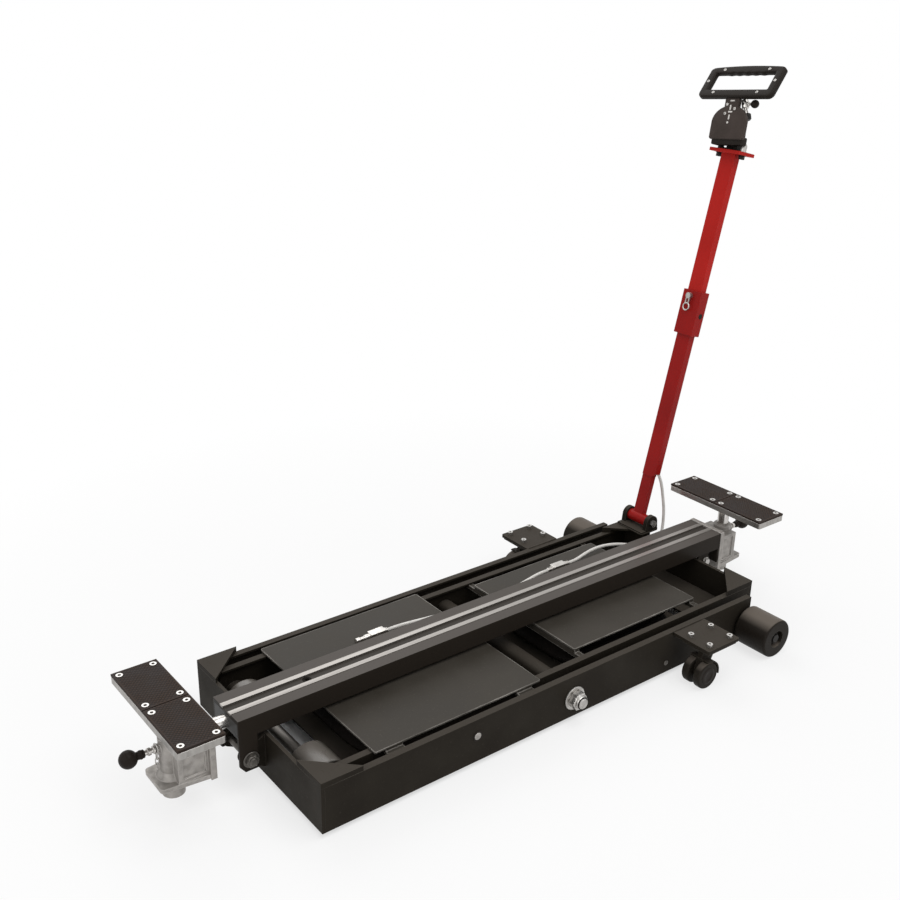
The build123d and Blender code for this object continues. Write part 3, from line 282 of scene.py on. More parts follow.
def weld(start, end, width):
    """Weld bead: a bar whose width ripples every 3 mm and falls away at its ends."""
    pitch = 3 * MM
    length = np.linalg.norm(end - start)
    share = np.linspace(0, 1, int(length / MM))
    ripple = 0.9 + 0.1 * np.cos(share * length / pitch * TURN)
    taper = np.sqrt(np.clip(1 - (2 * share - 1) ** 10, 0.04, 1))
    return tube(start + (end - start) * share[:, None], width * MM * ripple * taper, 12)


def placed(surface, origin, axis=Z, side=X):
    """The surface with its Z along axis and its X towards side, moved to origin."""
    any_other = (0.3, 0.5, 0.8)
    points, faces = surface
    z = np.array(axis, float) / np.linalg.norm(axis)
    x = np.array(side, float) - z * np.dot(side, z)
    if np.linalg.norm(x) < 1e-6:
        x = np.cross(z, any_other)
    x /= np.linalg.norm(x)
    return points @ np.array([x, np.cross(z, x), z]) + np.array(origin), faces


def both_sides(shapes, x, z, y=0.0):
    """The shapes at the near and the far side, y from the middle plane, with their Z outwards."""
    return [placed(shape, at(x, sign * y, z), sign * Y) for sign in SIDES.values() for shape in shapes]


def joined(surfaces):
    """Several surfaces as one list of vertices and faces."""
    points, faces, start = [], [], 0
    for p, f in surfaces:
        points.append(p)
        faces += (np.array(f) + start).tolist()
        start += len(p)
    return np.concatenate(points), faces


def piece(name, surfaces, finish, body, sharp=40.0):
    """Mesh object of one finish that rides on a body, with doubles merged and faces turned outwards."""
    same_point, no_length = 2e-6, 1e-7
    points, faces = joined(surfaces)
    mesh = bpy.data.meshes.new(name)
    mesh.from_pydata(points.tolist(), [], faces)
    edit = bmesh.new()
    edit.from_mesh(mesh)
    bmesh.ops.remove_doubles(edit, verts=edit.verts, dist=same_point)
    bmesh.ops.dissolve_degenerate(edit, edges=edit.edges, dist=no_length)
    bmesh.ops.recalc_face_normals(edit, faces=edit.faces)
    edit.to_mesh(mesh)
    edit.free()
    mesh.polygons.foreach_set("use_smooth", np.ones(len(mesh.polygons), bool))
    mesh.set_sharp_from_angle(angle=math.radians(sharp))
    made = bpy.data.objects.new(name, mesh)
    bpy.context.scene.collection.objects.link(made)
    mesh.materials.append(bpy.data.materials[finish])
    if body:
        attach(made, body)
    return made


# Finishes
def add(tree, kind, inputs=None, **settings):
    """Adds a node, sets its properties, and gives its inputs values or links from other sockets."""
    node = tree.nodes.new(kind)
    for key, value in settings.items():
        setattr(node, key, value)
    for key, value in (inputs or {}).items():
        if isinstance(value, bpy.types.NodeSocket):
            tree.links.new(value, node.inputs[key])
        else:
            node.inputs[key].default_value = value
    return node


def new_tree(name):
    """Empty node tree of a new material."""
    material = bpy.data.materials.new(name)
    material.use_nodes = True
    material.node_tree.nodes.clear()
    return material.node_tree


def finish(name, colours, patch, roughness, grain, lift, edge=1.0, stretch=(1, 1, 1), up=None, worn_and_lit_edge=None,
           flecks=None, middle=None, groove=None, metal=0.0, shine=0.5, shader=None):
    """Opaque finish: two colours meet in soft patches, roughness follows, a fine grain lifts the surface.

    patch, grain, lift and edge are millimetres: the size of patches and of the grain, the grain's height
    and the radius over which light rolls round an edge. stretch draws the pattern out along an axis. up is
    the colour of faces that look up: the grey top on the beam, painted light from above on the others, with
    settled dust on the frames. worn is the colour of rubbed edges, which on some finishes is a painted
    highlight along the edge. flecks are a colour and the millimetres between small specks, middle a colour
    and the half width of a stripe along X, which on the beam is painted shade in its groove, groove the
    colour where the attribute of that name is 1. metal and shine are the share of metal and the level of
    plain reflections, shader holds other inputs of the shader.
    """
    tree = new_tree(name)
    place = add(tree, "ShaderNodeTexCoord").outputs["Object"]
    drawn = add(tree, "ShaderNodeMapping", {"Vector": place, "Scale": stretch}).outputs["Vector"]
    cloud = add(tree, "ShaderNodeTexNoise", {
        "Vector": drawn, "Scale": 1 / (patch * MM), "Detail": 5.0}).outputs["Fac"]
    fine = add(tree, "ShaderNodeTexNoise", {
        "Vector": drawn, "Scale": 1 / (grain * MM), "Detail": 2.0}).outputs["Fac"]
    facing = add(tree, "ShaderNodeNewGeometry").outputs["True Normal"]
    rolled = add(tree, "ShaderNodeBevel", {"Radius": edge * MM}, samples=6).outputs["Normal"]
    soft = add(tree, "ShaderNodeMapRange", {
        "Value": cloud, "From Min": 0.35, "From Max": 0.65}).outputs["Result"]
    layers = [(soft, colours[1])]
    # Faces that look up: painted light from above on most finishes, the real grey top on the beam
    if up:
        height = add(tree, "ShaderNodeSeparateXYZ", {"Vector": facing}).outputs["Z"]
        level = add(tree, "ShaderNodeMapRange", {
            "Value": height, "From Min": 0.6, "From Max": 0.9, "To Max": 0.85}).outputs["Result"]
        layers.append((level, up))
    # Stripe along X: on the beam, painted shade in its groove
    if middle:
        colour, half = middle
        across = add(tree, "ShaderNodeSeparateXYZ", {"Vector": place}).outputs["Y"]
        away = add(tree, "ShaderNodeMath", {0: across}, operation="ABSOLUTE").outputs["Value"]
        stripe = add(tree, "ShaderNodeMath", {0: away, 1: half * MM}, operation="LESS_THAN").outputs["Value"]
        layers.append((stripe, colour))
    if flecks:
        colour, apart = flecks
        specks = add(tree, "ShaderNodeTexNoise", {
            "Vector": place, "Scale": 1 / (apart * MM), "Detail": 1.0}).outputs["Fac"]
        speck = add(tree, "ShaderNodeMapRange", {
            "Value": specks, "From Min": 0.66, "From Max": 0.74, "To Max": 0.6}).outputs["Result"]
        layers.append((speck, colour))
    if groove:
        layers.append((add(tree, "ShaderNodeAttribute", attribute_name="groove").outputs["Fac"], groove))
    # Edges: rubbed wear, and on some finishes a painted highlight along the edge
    if worn_and_lit_edge:
        turned = add(tree, "ShaderNodeVectorMath", {0: rolled, 1: facing}, operation="DOT_PRODUCT")
        rubbed_and_lit_edge = add(tree, "ShaderNodeMapRange", {
            "Value": turned.outputs["Value"], "From Min": 0.995, "From Max": 0.88}).outputs["Result"]
        patchy = add(tree, "ShaderNodeMath", {0: rubbed_and_lit_edge, 1: soft}, operation="MULTIPLY").outputs["Value"]
        layers.append((patchy, worn_and_lit_edge))
    shade = hex_to_linear(colours[0])
    for share, colour in layers:
        mixed = add(tree, "ShaderNodeMix", {0: share, 6: shade, 7: hex_to_linear(colour)}, data_type="RGBA")
        shade = mixed.outputs[2]
    rough = add(tree, "ShaderNodeMapRange", {
        "Value": cloud, "From Min": 0.3, "From Max": 0.7,
        "To Min": roughness[0], "To Max": roughness[1]}).outputs["Result"]
    bump = add(tree, "ShaderNodeBump", {
        "Height": fine, "Distance": lift * MM, "Strength": 0.6, "Normal": rolled}).outputs["Normal"]
    principled = add(tree, "ShaderNodeBsdfPrincipled", {
        "Base Color": shade, "Roughness": rough, "Normal": bump, "Metallic": metal,
        "Specular IOR Level": shine, **(shader or {})})
    add(tree, "ShaderNodeOutputMaterial", {"Surface": principled.outputs["BSDF"]})


# Finish of each material slot of the record, and of the nodes that differ from their slot
SLOT_FINISH = {
    "black_paint": "powder_coated_steel",
    "panel_paint": "powder_coated_sheet",
    "beam_paint": "enamelled_channel",
    "bright_strip": "drawn_aluminium",
    "machined_steel": "ground_steel",
    "bright_zinc": "zinc_plated_steel",
    "guide_plastic": "machined_acetal",
    "grey_casting": "sand_cast_aluminium",
    "saddle_aluminium": "sawn_aluminium",
    "black_rubber": "moulded_rubber",
    "roller_nylon": "turned_nylon",
    "black_plastic": "moulded_polyamide",
    "red_paint": "red_enamel",
    "fitting_metal": "nickel_plated_brass",
    "pale_hose": "extruded_polyurethane",
}
NODE_FINISH = {
    # Lower tube: the same red painted darker as shade
    "handle_lower": "red_enamel_painted_shade",
    "roller_axles": "black_oxide_steel",
    "axle_bar": "drawn_steel",
    # Floor wheels: their tops are painted lighter as light from above
    "floor_wheel_near": "worn_nylon_painted_light",
    "floor_wheel_far": "worn_nylon_painted_light",
}


def make_finishes(colours):
    """Every finish of the jack, named for the material and how its surface was made."""
    # Satin black powder coat on folded steel: faint orange peel, paler rubbed edges, top faces paler from
    # settled dust and painted light from above
    finish("powder_coated_steel", (colours.frame, "#25211c"), 90, (0.45, 0.6), 2.4, 0.05, 1.6,
           up="#443f39", worn_and_lit_edge="#5b564f", flecks=("#38332d", 5.0), shine=0.05)
    # The same coat on flat sheet, duller and a little brown with settled dust; its edges are painted pale as
    # a highlight
    finish("powder_coated_sheet", (colours.panel, "#3c3832"), 110, (0.5, 0.62), 2.4, 0.05, 4.0,
           worn_and_lit_edge="#b8b3ac", flecks=("#4a463f", 4.0), shine=0.2)
    # Black enamel on the channel's sides, worn along its top to grey primer, with painted shade along the
    # groove in the middle
    finish("enamelled_channel", (colours.beam, "#2b2621"), 160, (0.28, 0.42), 2.0, 0.02, 0.8, (0.2, 1, 1),
           up=colours.beam_top, middle=("#3f3b37", 10.6), shine=0.05)
    # Drawn aluminium: long streaks left by the die
    finish("drawn_aluminium", ("#aaa6a1", "#8f8b87"), 24, (0.34, 0.46), 1.2, 0.02, 0.4, (0.02, 1, 1),
           metal=1.0)
    # Centreless-ground steel bar: fine rings round the bar and soft highlights
    finish("ground_steel", ("#d2cfcb", "#aaa6a2"), 16, (0.18, 0.28), 0.8, 0.01, 0.5, (5, 1, 1), metal=1.0)
    # Drawn steel bar, dull with age
    finish("drawn_steel", ("#6f6b66", "#5a5651"), 20, (0.32, 0.44), 1.0, 0.02, 0.5, (1, 0.1, 1), metal=0.6)
    # Bright zinc plate: slightly cloudy, with painted light making faces that look up brighter
    finish("zinc_plated_steel", ("#bab7b3", "#a5a29e"), 12, (0.2, 0.34), 1.0, 0.02, 0.5, up="#d0ceca",
           metal=0.85)
    # Acetal cut on a saw, out of sight in the beam
    finish("machined_acetal", ("#2d2d2d", "#343434"), 20, (0.45, 0.55), 1.5, 0.02, 0.5)
    # Sand-cast aluminium, tumbled: pebbled skin, soft corners and darker grey patches
    finish("sand_cast_aluminium", (colours.casting, "#918d88"), 14, (0.4, 0.56), 1.8, 0.12, 3.2,
           worn_and_lit_edge="#d2cec9", metal=0.4)
    # Sawn aluminium plate: close upright lines on its edges, which are painted pale as a highlight
    finish("sawn_aluminium", ("#aaa7a3", "#9b9894"), 8, (0.34, 0.46), 0.9, 0.04, 1.4, (1, 1, 0.25),
           worn_and_lit_edge="#dedbd7", metal=1.0)
    # Moulded rubber: matt and slightly mottled
    finish("moulded_rubber", (colours.rubber, "#1a1613"), 30, (0.6, 0.74), 1.5, 0.06, 0.8, shine=0.08)
    # Rubber with a cut tread: its grooves are coloured darker
    finish("treaded_rubber", (colours.pad, "#37291f"), 40, (0.55, 0.7), 1.2, 0.05, 0.5, groove="#100b09",
           shine=0.2)
    # Cast nylon turned on a lathe: satin, with faint rings and painted light on faces that look up
    finish("turned_nylon", (colours.roller, "#25211c"), 50, (0.42, 0.56), 2.2, 0.04, 2.0, (1, 0.4, 1),
           worn_and_lit_edge="#4d4841", up="#6b635b", shine=0.08)
    # The same nylon run smooth on the floor, with painted light on faces that look up
    finish("worn_nylon_painted_light", ("#2b2723", "#37322d"), 40, (0.24, 0.34), 2.2, 0.02, 2.0, (1, 0.4, 1), up="#6a655f")
    # Glass-filled polyamide from a sparked mould: fine leather grain and a low sheen
    finish("moulded_polyamide", (colours.plastic, "#241f1b"), 26, (0.42, 0.54), 1.1, 0.06, 1.0, shine=0.1)
    # Brown-black stove enamel on the cover of the lever
    finish("stoved_enamel", (colours.cover, "#3c3430"), 40, (0.4, 0.52), 2.0, 0.04, 1.4, shine=0.12)
    # Red enamel sprayed on steel tube: long soft ripples under a thin gloss
    finish("red_enamel", (colours.handle, "#a81b15"), 140, (0.3, 0.42), 3.5, 0.04, 1.2, worn_and_lit_edge="#c8302a",
           shine=0.12)
    # The same red enamel painted a shade deeper on the lower tube, as painted shade
    finish("red_enamel_painted_shade", (colours.lower_handle, "#891412"), 140, (0.3, 0.42), 3.5, 0.04, 1.2,
           worn_and_lit_edge="#b02a26", shine=0.12)
    # Nickel-plated brass: bright, faintly warm
    finish("nickel_plated_brass", ("#d2cfca", "#bdb9b4"), 12, (0.22, 0.34), 1.0, 0.01, 0.4, metal=1.0)
    # Polyurethane hose: milky, smooth and a little see-through at its edge
    finish("extruded_polyurethane", (colours.hose, "#d8d5d0"), 14, (0.3, 0.42), 2.0, 0.01, 0.3,
           shader={"Subsurface Weight": 0.15, "Subsurface Radius": (4 * MM, 4 * MM, 4 * MM)})
    # White pad-printing ink: matt, a little thin at its edges
    finish("printed_ink", ("#dedad5", "#cbc7c2"), 4, (0.5, 0.6), 1.0, 0.01, 0.2)
    # Black-oxide steel: dark and oily
    finish("black_oxide_steel", ("#211f1e", "#2c2a28"), 10, (0.34, 0.46), 1.0, 0.02, 0.5, metal=0.1,
           shine=0.12)


class JackColours(bpy.types.PropertyGroup):
    """Colours that a user would change, as sRGB hex values."""
    frame: bpy.props.StringProperty(name="Frame", description="Powder coat of the frames", default="#29251f")
    panel: bpy.props.StringProperty(name="Panels", description="Coat of the two panels", default="#34302a")
    beam: bpy.props.StringProperty(name="Beam", description="Enamel on the beam's sides", default="#2c2722")
    beam_top: bpy.props.StringProperty(name="Beam top", description="Worn top of the beam", default="#5c5753")
    casting: bpy.props.StringProperty(name="Castings", description="Cast brackets", default="#aaa5a0")
    rubber: bpy.props.StringProperty(name="Rubber", description="Rubber of bags and seals", default="#120f0c")
    pad: bpy.props.StringProperty(name="Pads", description="Rubber of the saddle pads", default="#2b201b")
    roller: bpy.props.StringProperty(name="Rollers", description="Rollers and castors", default="#1f1b17")
    plastic: bpy.props.StringProperty(name="Plastic", description="Grip and knobs", default="#1f1a16")
    cover: bpy.props.StringProperty(name="Cover", description="Enamel of the lever", default="#443b37")
    handle: bpy.props.StringProperty(name="Handle", description="Upper tube's enamel", default="#b41f19")
    # Darker than the upper tube's colour as painted shade
    lower_handle: bpy.props.StringProperty(name="Lower handle", description="Lower tube's enamel",
                                           default="#981512")
    hose: bpy.props.StringProperty(name="Hose", description="Air hose", default="#e6e3de")


class JackSizes(bpy.types.PropertyGroup):
    """Sizes of the dressed pieces that a user would change."""
    tread_pitch: bpy.props.FloatProperty(name="Tread pitch", description="Distance between the pads' grooves",
                                         default=5.7 * MM, unit="LENGTH")
    tread_depth: bpy.props.FloatProperty(name="Tread depth", description="Depth of the pads' grooves",
                                         default=0.8 * MM, unit="LENGTH")
    screw_head: bpy.props.FloatProperty(name="Screw head", description="Width of a pad screw's head",
                                        default=14 * MM, unit="LENGTH")
    hose_width: bpy.props.FloatProperty(name="Hose", description="Outside diameter of the air hose",
                                        default=8 * MM, unit="LENGTH")


class JACK_OT_finishes(bpy.types.Operator):
    """Makes every finish and puts it on the nodes that keep their own shape"""
    bl_idname = "jack.finishes"
    bl_label = "Finishes"

    def execute(self, context):
        make_finishes(context.scene.jack_colours)
        for entry in frame["record"]["subparts"]:
            mesh = frame["nodes"][entry["node"]].data
            mesh.materials.clear()
            coat = NODE_FINISH.get(entry["node"], SLOT_FINISH[entry["material_slot"]])
            mesh.materials.append(bpy.data.materials[coat])
        return {"FINISHED"}


def seen_rays(tree):
    """Socket that is 1 for the rays of the camera, of a reflection and of a look through glass."""
    rays = add(tree, "ShaderNodeLightPath").outputs
    seen = rays["Is Camera Ray"]
    for kind in ("Is Glossy Ray", "Is Transmission Ray"):
        seen = add(tree, "ShaderNodeMath", {0: seen, 1: rays[kind]}, operation="MAXIMUM").outputs["Value"]
    return seen


def make_floor_finish():
    """White paper: plain white far off, a share of real shading for the shadow near the object.

    Below the frames it is shaded only, so that it doesn't shine through their openings.
    """
    tree = new_tree("white_paper")
    place = add(tree, "ShaderNodeTexCoord").outputs["Object"]
    away = add(tree, "ShaderNodeVectorMath", {0: place}, operation="LENGTH").outputs["Value"]
    plain = add(tree, "ShaderNodeMapRange", {
        "Value": away, "From Min": SHADOW[0], "From Max": SHADOW[1], "To Min": 0.72}).outputs["Result"]
    side = add(tree, "ShaderNodeVectorMath", {0: place}, operation="ABSOLUTE").outputs["Vector"]
    outside = add(tree, "ShaderNodeVectorMath", {0: side, 1: COVERED}, operation="SUBTRACT").outputs["Vector"]
    apart = add(tree, "ShaderNodeSeparateXYZ", {"Vector": outside}).outputs
    beyond = add(tree, "ShaderNodeMath", {0: apart["X"], 1: apart["Y"]}, operation="MAXIMUM")
    lit = add(tree, "ShaderNodeMapRange", {
        "Value": beyond.outputs["Value"], "From Max": 0.06, "To Max": plain}).outputs["Result"]
    share = add(tree, "ShaderNodeMath", {0: seen_rays(tree), 1: lit}, operation="MULTIPLY")
    matt = add(tree, "ShaderNodeBsdfDiffuse", {"Color": (0.9, 0.9, 0.9, 1)}).outputs["BSDF"]
    glow = add(tree, "ShaderNodeEmission", {"Color": (1, 1, 1, 1), "Strength": 1.0}).outputs["Emission"]
    mix = add(tree, "ShaderNodeMixShader", {0: share.outputs["Value"], 1: matt, 2: glow}).outputs["Shader"]
    add(tree, "ShaderNodeOutputMaterial", {"Surface": mix})


class JACK_OT_stage(bpy.types.Operator):
    """Makes the floor, the lights and the camera of the photograph"""
    bl_idname = "jack.stage"
    bl_label = "Stage"

    def execute(self, context):
        scene = context.scene
        scene.view_settings.view_transform = "Standard"
        make_floor_finish()
        corners = [(FLOOR_REACH * x, FLOOR_REACH * y, 0) for x, y in ((-1, -1), (1, -1), (1, 1), (-1, 1))]
        mesh = bpy.data.meshes.new("floor")
        mesh.from_pydata(corners, [], [(0, 1, 2, 3)])
        mesh.materials.append(bpy.data.materials["white_paper"])
        floor = bpy.data.objects.new("floor", mesh)
        scene.collection.objects.link(floor)

        # White room, at half strength for what it lights
        scene.world = scene.world or bpy.data.worlds.new("studio")
        scene.world.use_nodes = True
        tree = scene.world.node_tree
        tree.nodes.clear()
        level = add(tree, "ShaderNodeMapRange", {"Value": seen_rays(tree), "To Min": 0.5}).outputs["Result"]
        room = add(tree, "ShaderNodeBackground", {"Color": (1, 1, 1, 1), "Strength": level})
        add(tree, "ShaderNodeOutputWorld", {"Surface": room.outputs["Background"]})

        for name, place, width, power in LAMPS:
            light = bpy.data.lights.new(name, "AREA")
            light.size = width
            light.energy = power
            lamp = bpy.data.objects.new(name, light)
            lamp.location = place
            lamp.rotation_euler = (LAMP_TARGET - Vector(place)).to_track_quat("-Z", "Y").to_euler()
            scene.collection.objects.link(lamp)

        azimuth, elevation, roll = (math.radians(angle) for angle in (AZIMUTH, ELEVATION, ROLL))
        back = math.cos(elevation) * (math.sin(azimuth) * X - math.cos(azimuth) * Y) + math.sin(elevation) * Z
        right = math.cos(azimuth) * X + math.sin(azimuth) * Y
        up = np.cross(back, right)
        data = bpy.data.cameras.new("photo_camera")
        data.sensor_width = SENSOR
        data.lens = LENS
        camera = bpy.data.objects.new("photo_camera", data)
        turned = np.eye(4)
        turned[:3, 0] = math.cos(roll) * right + math.sin(roll) * up
        turned[:3, 1] = math.cos(roll) * up - math.sin(roll) * right
        turned[:3, 2] = back
        turned[:3, 3] = at(*CAMERA_PLACE)
        camera.matrix_world = Matrix(turned.tolist())
        scene.collection.objects.link(camera)
        scene.camera = camera
        return {"FINISHED"}


# Routes of the hoses, as the model has them
HANDLE_HOSE = (tiller(4, -16.5, 134), *(at(*p) for p in (
    (683, 145, 256), (691, 143, 228), (698, 142, 196), (702, 139, 164), (699, 134.5, 132), (690, 128, 110),
    (676, 121.5, 88), INLET)))
RIGHT_HOSE = tuple(at(*p) for p in (
    (337, 117, 123.5), (364, 117, 123.5), (396, 125, 125), (436, 131, 127), (474, 129, 127), (510, 120, 124),
    (546, 109, 116), (578, 100, 106), (602, 98, 100), OUTLET))
LEFT_HOSE = tuple(at(*p) for p in (
    (268, 117, 123.5), (238, 117, 123.5), (200, 108, 124), (156, 98, 125), (106, 92, 125), (54, 89, 124),
    (2, 89, 124), (-48, 93, 125), (-94, 101, 125), (-138, 110, 124), (-176, 117, 123.5), (-208, 117, 123.5)))


def hose_line(route):
    """Points along a hose: a NURBS spline with the route as its control points, read as a plain line."""
    curve = bpy.data.curves.new("hose_line", "CURVE")
    curve.dimensions = "3D"
    curve.resolution_u = 12
    spline = curve.splines.new("NURBS")
    spline.points.add(len(route) - 1)
    spline.points.foreach_set("co", np.hstack([np.array(route), np.ones((len(route), 1))]).ravel())
    spline.order_u = 3
    spline.use_endpoint_u = True
    line = bpy.data.objects.new("hose_line", curve)
    bpy.context.scene.collection.objects.link(line)
    bpy.context.view_layer.update()
    traced = bpy.data.meshes.new_from_object(line)
    points = np.empty(3 * len(traced.vertices))
    traced.vertices.foreach_get("co", points)
    bpy.data.meshes.remove(traced)
    bpy.data.objects.remove(line)
    return points.reshape(-1, 3)


class JACK_OT_hoses(bpy.types.Operator):
    """Lays the three air hoses"""
    bl_idname = "jack.hoses"
    bl_label = "Hoses"

    def execute(self, context):
        width = context.scene.jack_sizes.hose_width
        hoses = (
            ("handle_hose", HANDLE_HOSE, ("inner_frame", "handle"), HANDLE_HOSE[6], HANDLE_HOSE[0]),
            ("right_hose", RIGHT_HOSE, None, None, None),
            ("left_hose", LEFT_HOSE, ("inner_frame", "outer_frame"), LEFT_HOSE[4], LEFT_HOSE[7]),
        )
        for node, route, bodies, start, end in hoses:
            points = hose_line(route)
            made = piece(f"{node}_tube", [tube(points, width)], "extruded_polyurethane",
                         None if bodies else "inner_frame")
            if bodies:
                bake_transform(made)
            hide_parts(node)
        return {"FINISHED"}


def tread_pad(width, depth, thickness, pitch, groove):
    """Pad on Z = 0 whose top is a height field: two crossed families of round grooves along the diagonals."""
    step, border, fade, rolled, ridge = 1.1 * MM, 2.5 * MM, 1.5 * MM, 0.6 * MM, 0.3
    x = np.linspace(-width / 2, width / 2, int(width / step))
    y = np.linspace(-depth / 2, depth / 2, int(depth / step))
    gx, gy = np.meshgrid(x, y, indexing="ij")
    waves = [np.cos(TURN * (gx + sign * gy) / (pitch * math.sqrt(2))) for sign in (-1, 1)]
    rim = np.minimum(width / 2 - np.abs(gx), depth / 2 - np.abs(gy))
    inside = np.clip((rim - border) / fade, 0, 1)
    cut = np.clip(np.maximum(*waves) - ridge, 0, 1) / (1 - ridge)
    height = thickness - groove * inside * cut - rolled * np.clip(1 - rim / MM, 0, 1)
    top = np.stack([gx, gy, height], axis=-1)
    edge = np.concatenate([top[:, 0], top[-1, 1:], top[-2::-1, -1], top[0, -2:0:-1]])
    foot = edge * (1, 1, 0)
    base = np.stack([foot, np.broadcast_to(foot.mean(axis=0), foot.shape)])
    return joined([grid(top), grid(np.stack([edge, foot]), wrap_v=True), grid(base, wrap_v=True)])


def countersunk_screw(width):
    """Flat screw head with the round mouth of a socket, its top a little over Z = 0."""
    r = width / MM / 2
    return lathe([(0, -3.2), (0.4 * r, -3.2), (0.42 * r, -0.1), (0.5 * r, 0.25), (0.9 * r, 0.25), (r, 0.0),
                  (0.85 * r, -1.6), (0, -1.6)], 28)


class JACK_OT_saddles(bpy.types.Operator):
    """Makes the treaded saddle pads and their screws"""
    bl_idname = "jack.saddles"
    bl_label = "Saddle pads"

    def execute(self, context):
        sizes = context.scene.jack_sizes
        pad = tread_pad(PAD_WIDTH * MM, PAD_DEPTH * MM, (PAD_TOP - PLATE_TOP) * MM, sizes.tread_pitch,
                        sizes.tread_depth)
        screw = countersunk_screw(sizes.screw_head)
        corners = [(a * PAD_SCREW_X, b * PAD_SCREW_Y) for a in (-1, 1) for b in (-1, 1)]
        for end, sign in ENDS.items():
            spots = [(sign * SADDLE_X, half * PAD_STEP) for half in (-1, 1)]
            pads = [placed(pad, at(x, y, PLATE_TOP)) for x, y in spots]
            made = piece(f"{end}_tread_pads", pads, "treaded_rubber", f"{end}_saddle", 60)
            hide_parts(f"{end}_saddle_pads")
            heights = np.empty(3 * len(made.data.vertices))
            made.data.vertices.foreach_get("co", heights)
            depth = PAD_TOP * MM - heights[2::3]
            depth = np.where(depth < 2 * sizes.tread_depth, np.clip(depth / sizes.tread_depth, 0, 1), 0)
            made.data.attributes.new("groove", "FLOAT", "POINT").data.foreach_set("value", depth)
            screws = [placed(screw, at(x + dx, y + dy, PAD_TOP)) for x, y in spots for dx, dy in corners]
            piece(f"{end}_pad_screws", screws, "zinc_plated_steel", f"{end}_saddle")
        return {"FINISHED"}


class JACK_OT_plungers(bpy.types.Operator):
    """Makes the locking plungers with their ball knobs, and the keeper chains that hang beside them"""
    bl_idname = "jack.plungers"
    bl_label = "Plungers"

    def execute(self, context):
        shank = [(0, 50), (6.5, 50), (8, 51), (8, 55), (8.8, 55.6), (8.8, 59), (8, 60), (7.7, 64)]
        knob = lathe(shank + dome(KNOB_R, KNOB_R, KNOB_REACH, -1.1, 22))
        pin = lathe([
            (0, 11.5), (4.2, 11.5), (5, 12.5), (5, 29.5), (7.6, 29.5), (8, 30), (8, 33), (7.6, 33.5),
            (5, 33.5), (5, 38), (7, 38), (7.5, 38.5), (7.5, 44), (7, 44.5), (5, 44.5), (5, 51), (0, 51)])
        link = carried(rounded_path(7, 3.2, 3.1, 8, 2, 6), *section(1.1, 1.1, steps=8))
        first_link, link_step = 16.5, 11.0
        for end, sign in ENDS.items():
            body, origin = f"{end}_plunger", at(sign * SADDLE_X, 0, LOCK_Z)
            made = piece(f"{end}_ball_knob", [placed(knob, origin, sign * X)], "moulded_polyamide", body)
            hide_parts(f"{end}_plunger")
            piece(f"{end}_lock_pin", [placed(pin, origin, sign * X)], "ground_steel", body)
            hook = at(sign * (SADDLE_X + CHAIN_REACH), 0, LOCK_Z)
            chain = [placed(ring(10.4, 1.2), hook, X)]
            for k in range(3):
                below = hook - Z * (first_link + link_step * k) * MM
                chain.append(placed(link, below, Y if k % 2 else X, Z))
            piece(f"{end}_keeper_chain", chain, "zinc_plated_steel", f"{end}_arm")
        return {"FINISHED"}


def arched_outline(half, low, high, rise, corner):
    """Outline with a straight foot, rounded lower corners, upright sides and half an ellipse on top."""
    bend = np.linspace(0, TURN / 4, 8)
    arch = np.linspace(0, TURN / 2, 48)
    right = np.stack([half - corner + corner * np.sin(bend), low + corner - corner * np.cos(bend)], axis=-1)
    top = np.stack([half * np.cos(arch), high + rise * np.sin(arch)], axis=-1)
    return np.concatenate([right, top, right[::-1] * (-1, 1)])


def lever_loop():
    """Loop of the lever: a soft square section between two rounded outlines.

    The outer one falls away from the middle of its top to the corners, the inner one is waved for fingers.
    """
    half_w, half_h, side_bar, cross_bar = 110.0, 45.5, 22.0, 21.0
    drop, wave, finger, waved = 5.0, 1.4, 24.0, 60.0
    outer, outward = rounded_path(half_w, half_h, 13, 90, 24, 10)
    inner = rounded_path(half_w - side_bar, half_h - cross_bar, 3, 90, 24, 10)[0]
    above = np.clip(outward[:, 1], 0, 1)
    outer[:, 1] -= drop * above * (outer[:, 0] / half_w) ** 2
    gripped = (above > 0.99) * (np.abs(inner[:, 0]) < waved)
    inner[:, 1] -= wave * gripped * (0.5 + 0.5 * np.cos(TURN * inner[:, 0] / finger))
    share, axial = section(1.0, LOOP_DEPTH / 2, 4.5, 32)
    middle, half = (outer + inner) / 2, (outer - inner) / 2
    return closed_bar(middle[:, None] + half[:, None] * share[:, None], axial)


def on_lever(surface, u, a=0.0, b=0.0):
    """The surface laid on the lever's face, from its front towards its back."""
    return placed(surface, lever(u, a, b), TUBE_U, LEVER_A)


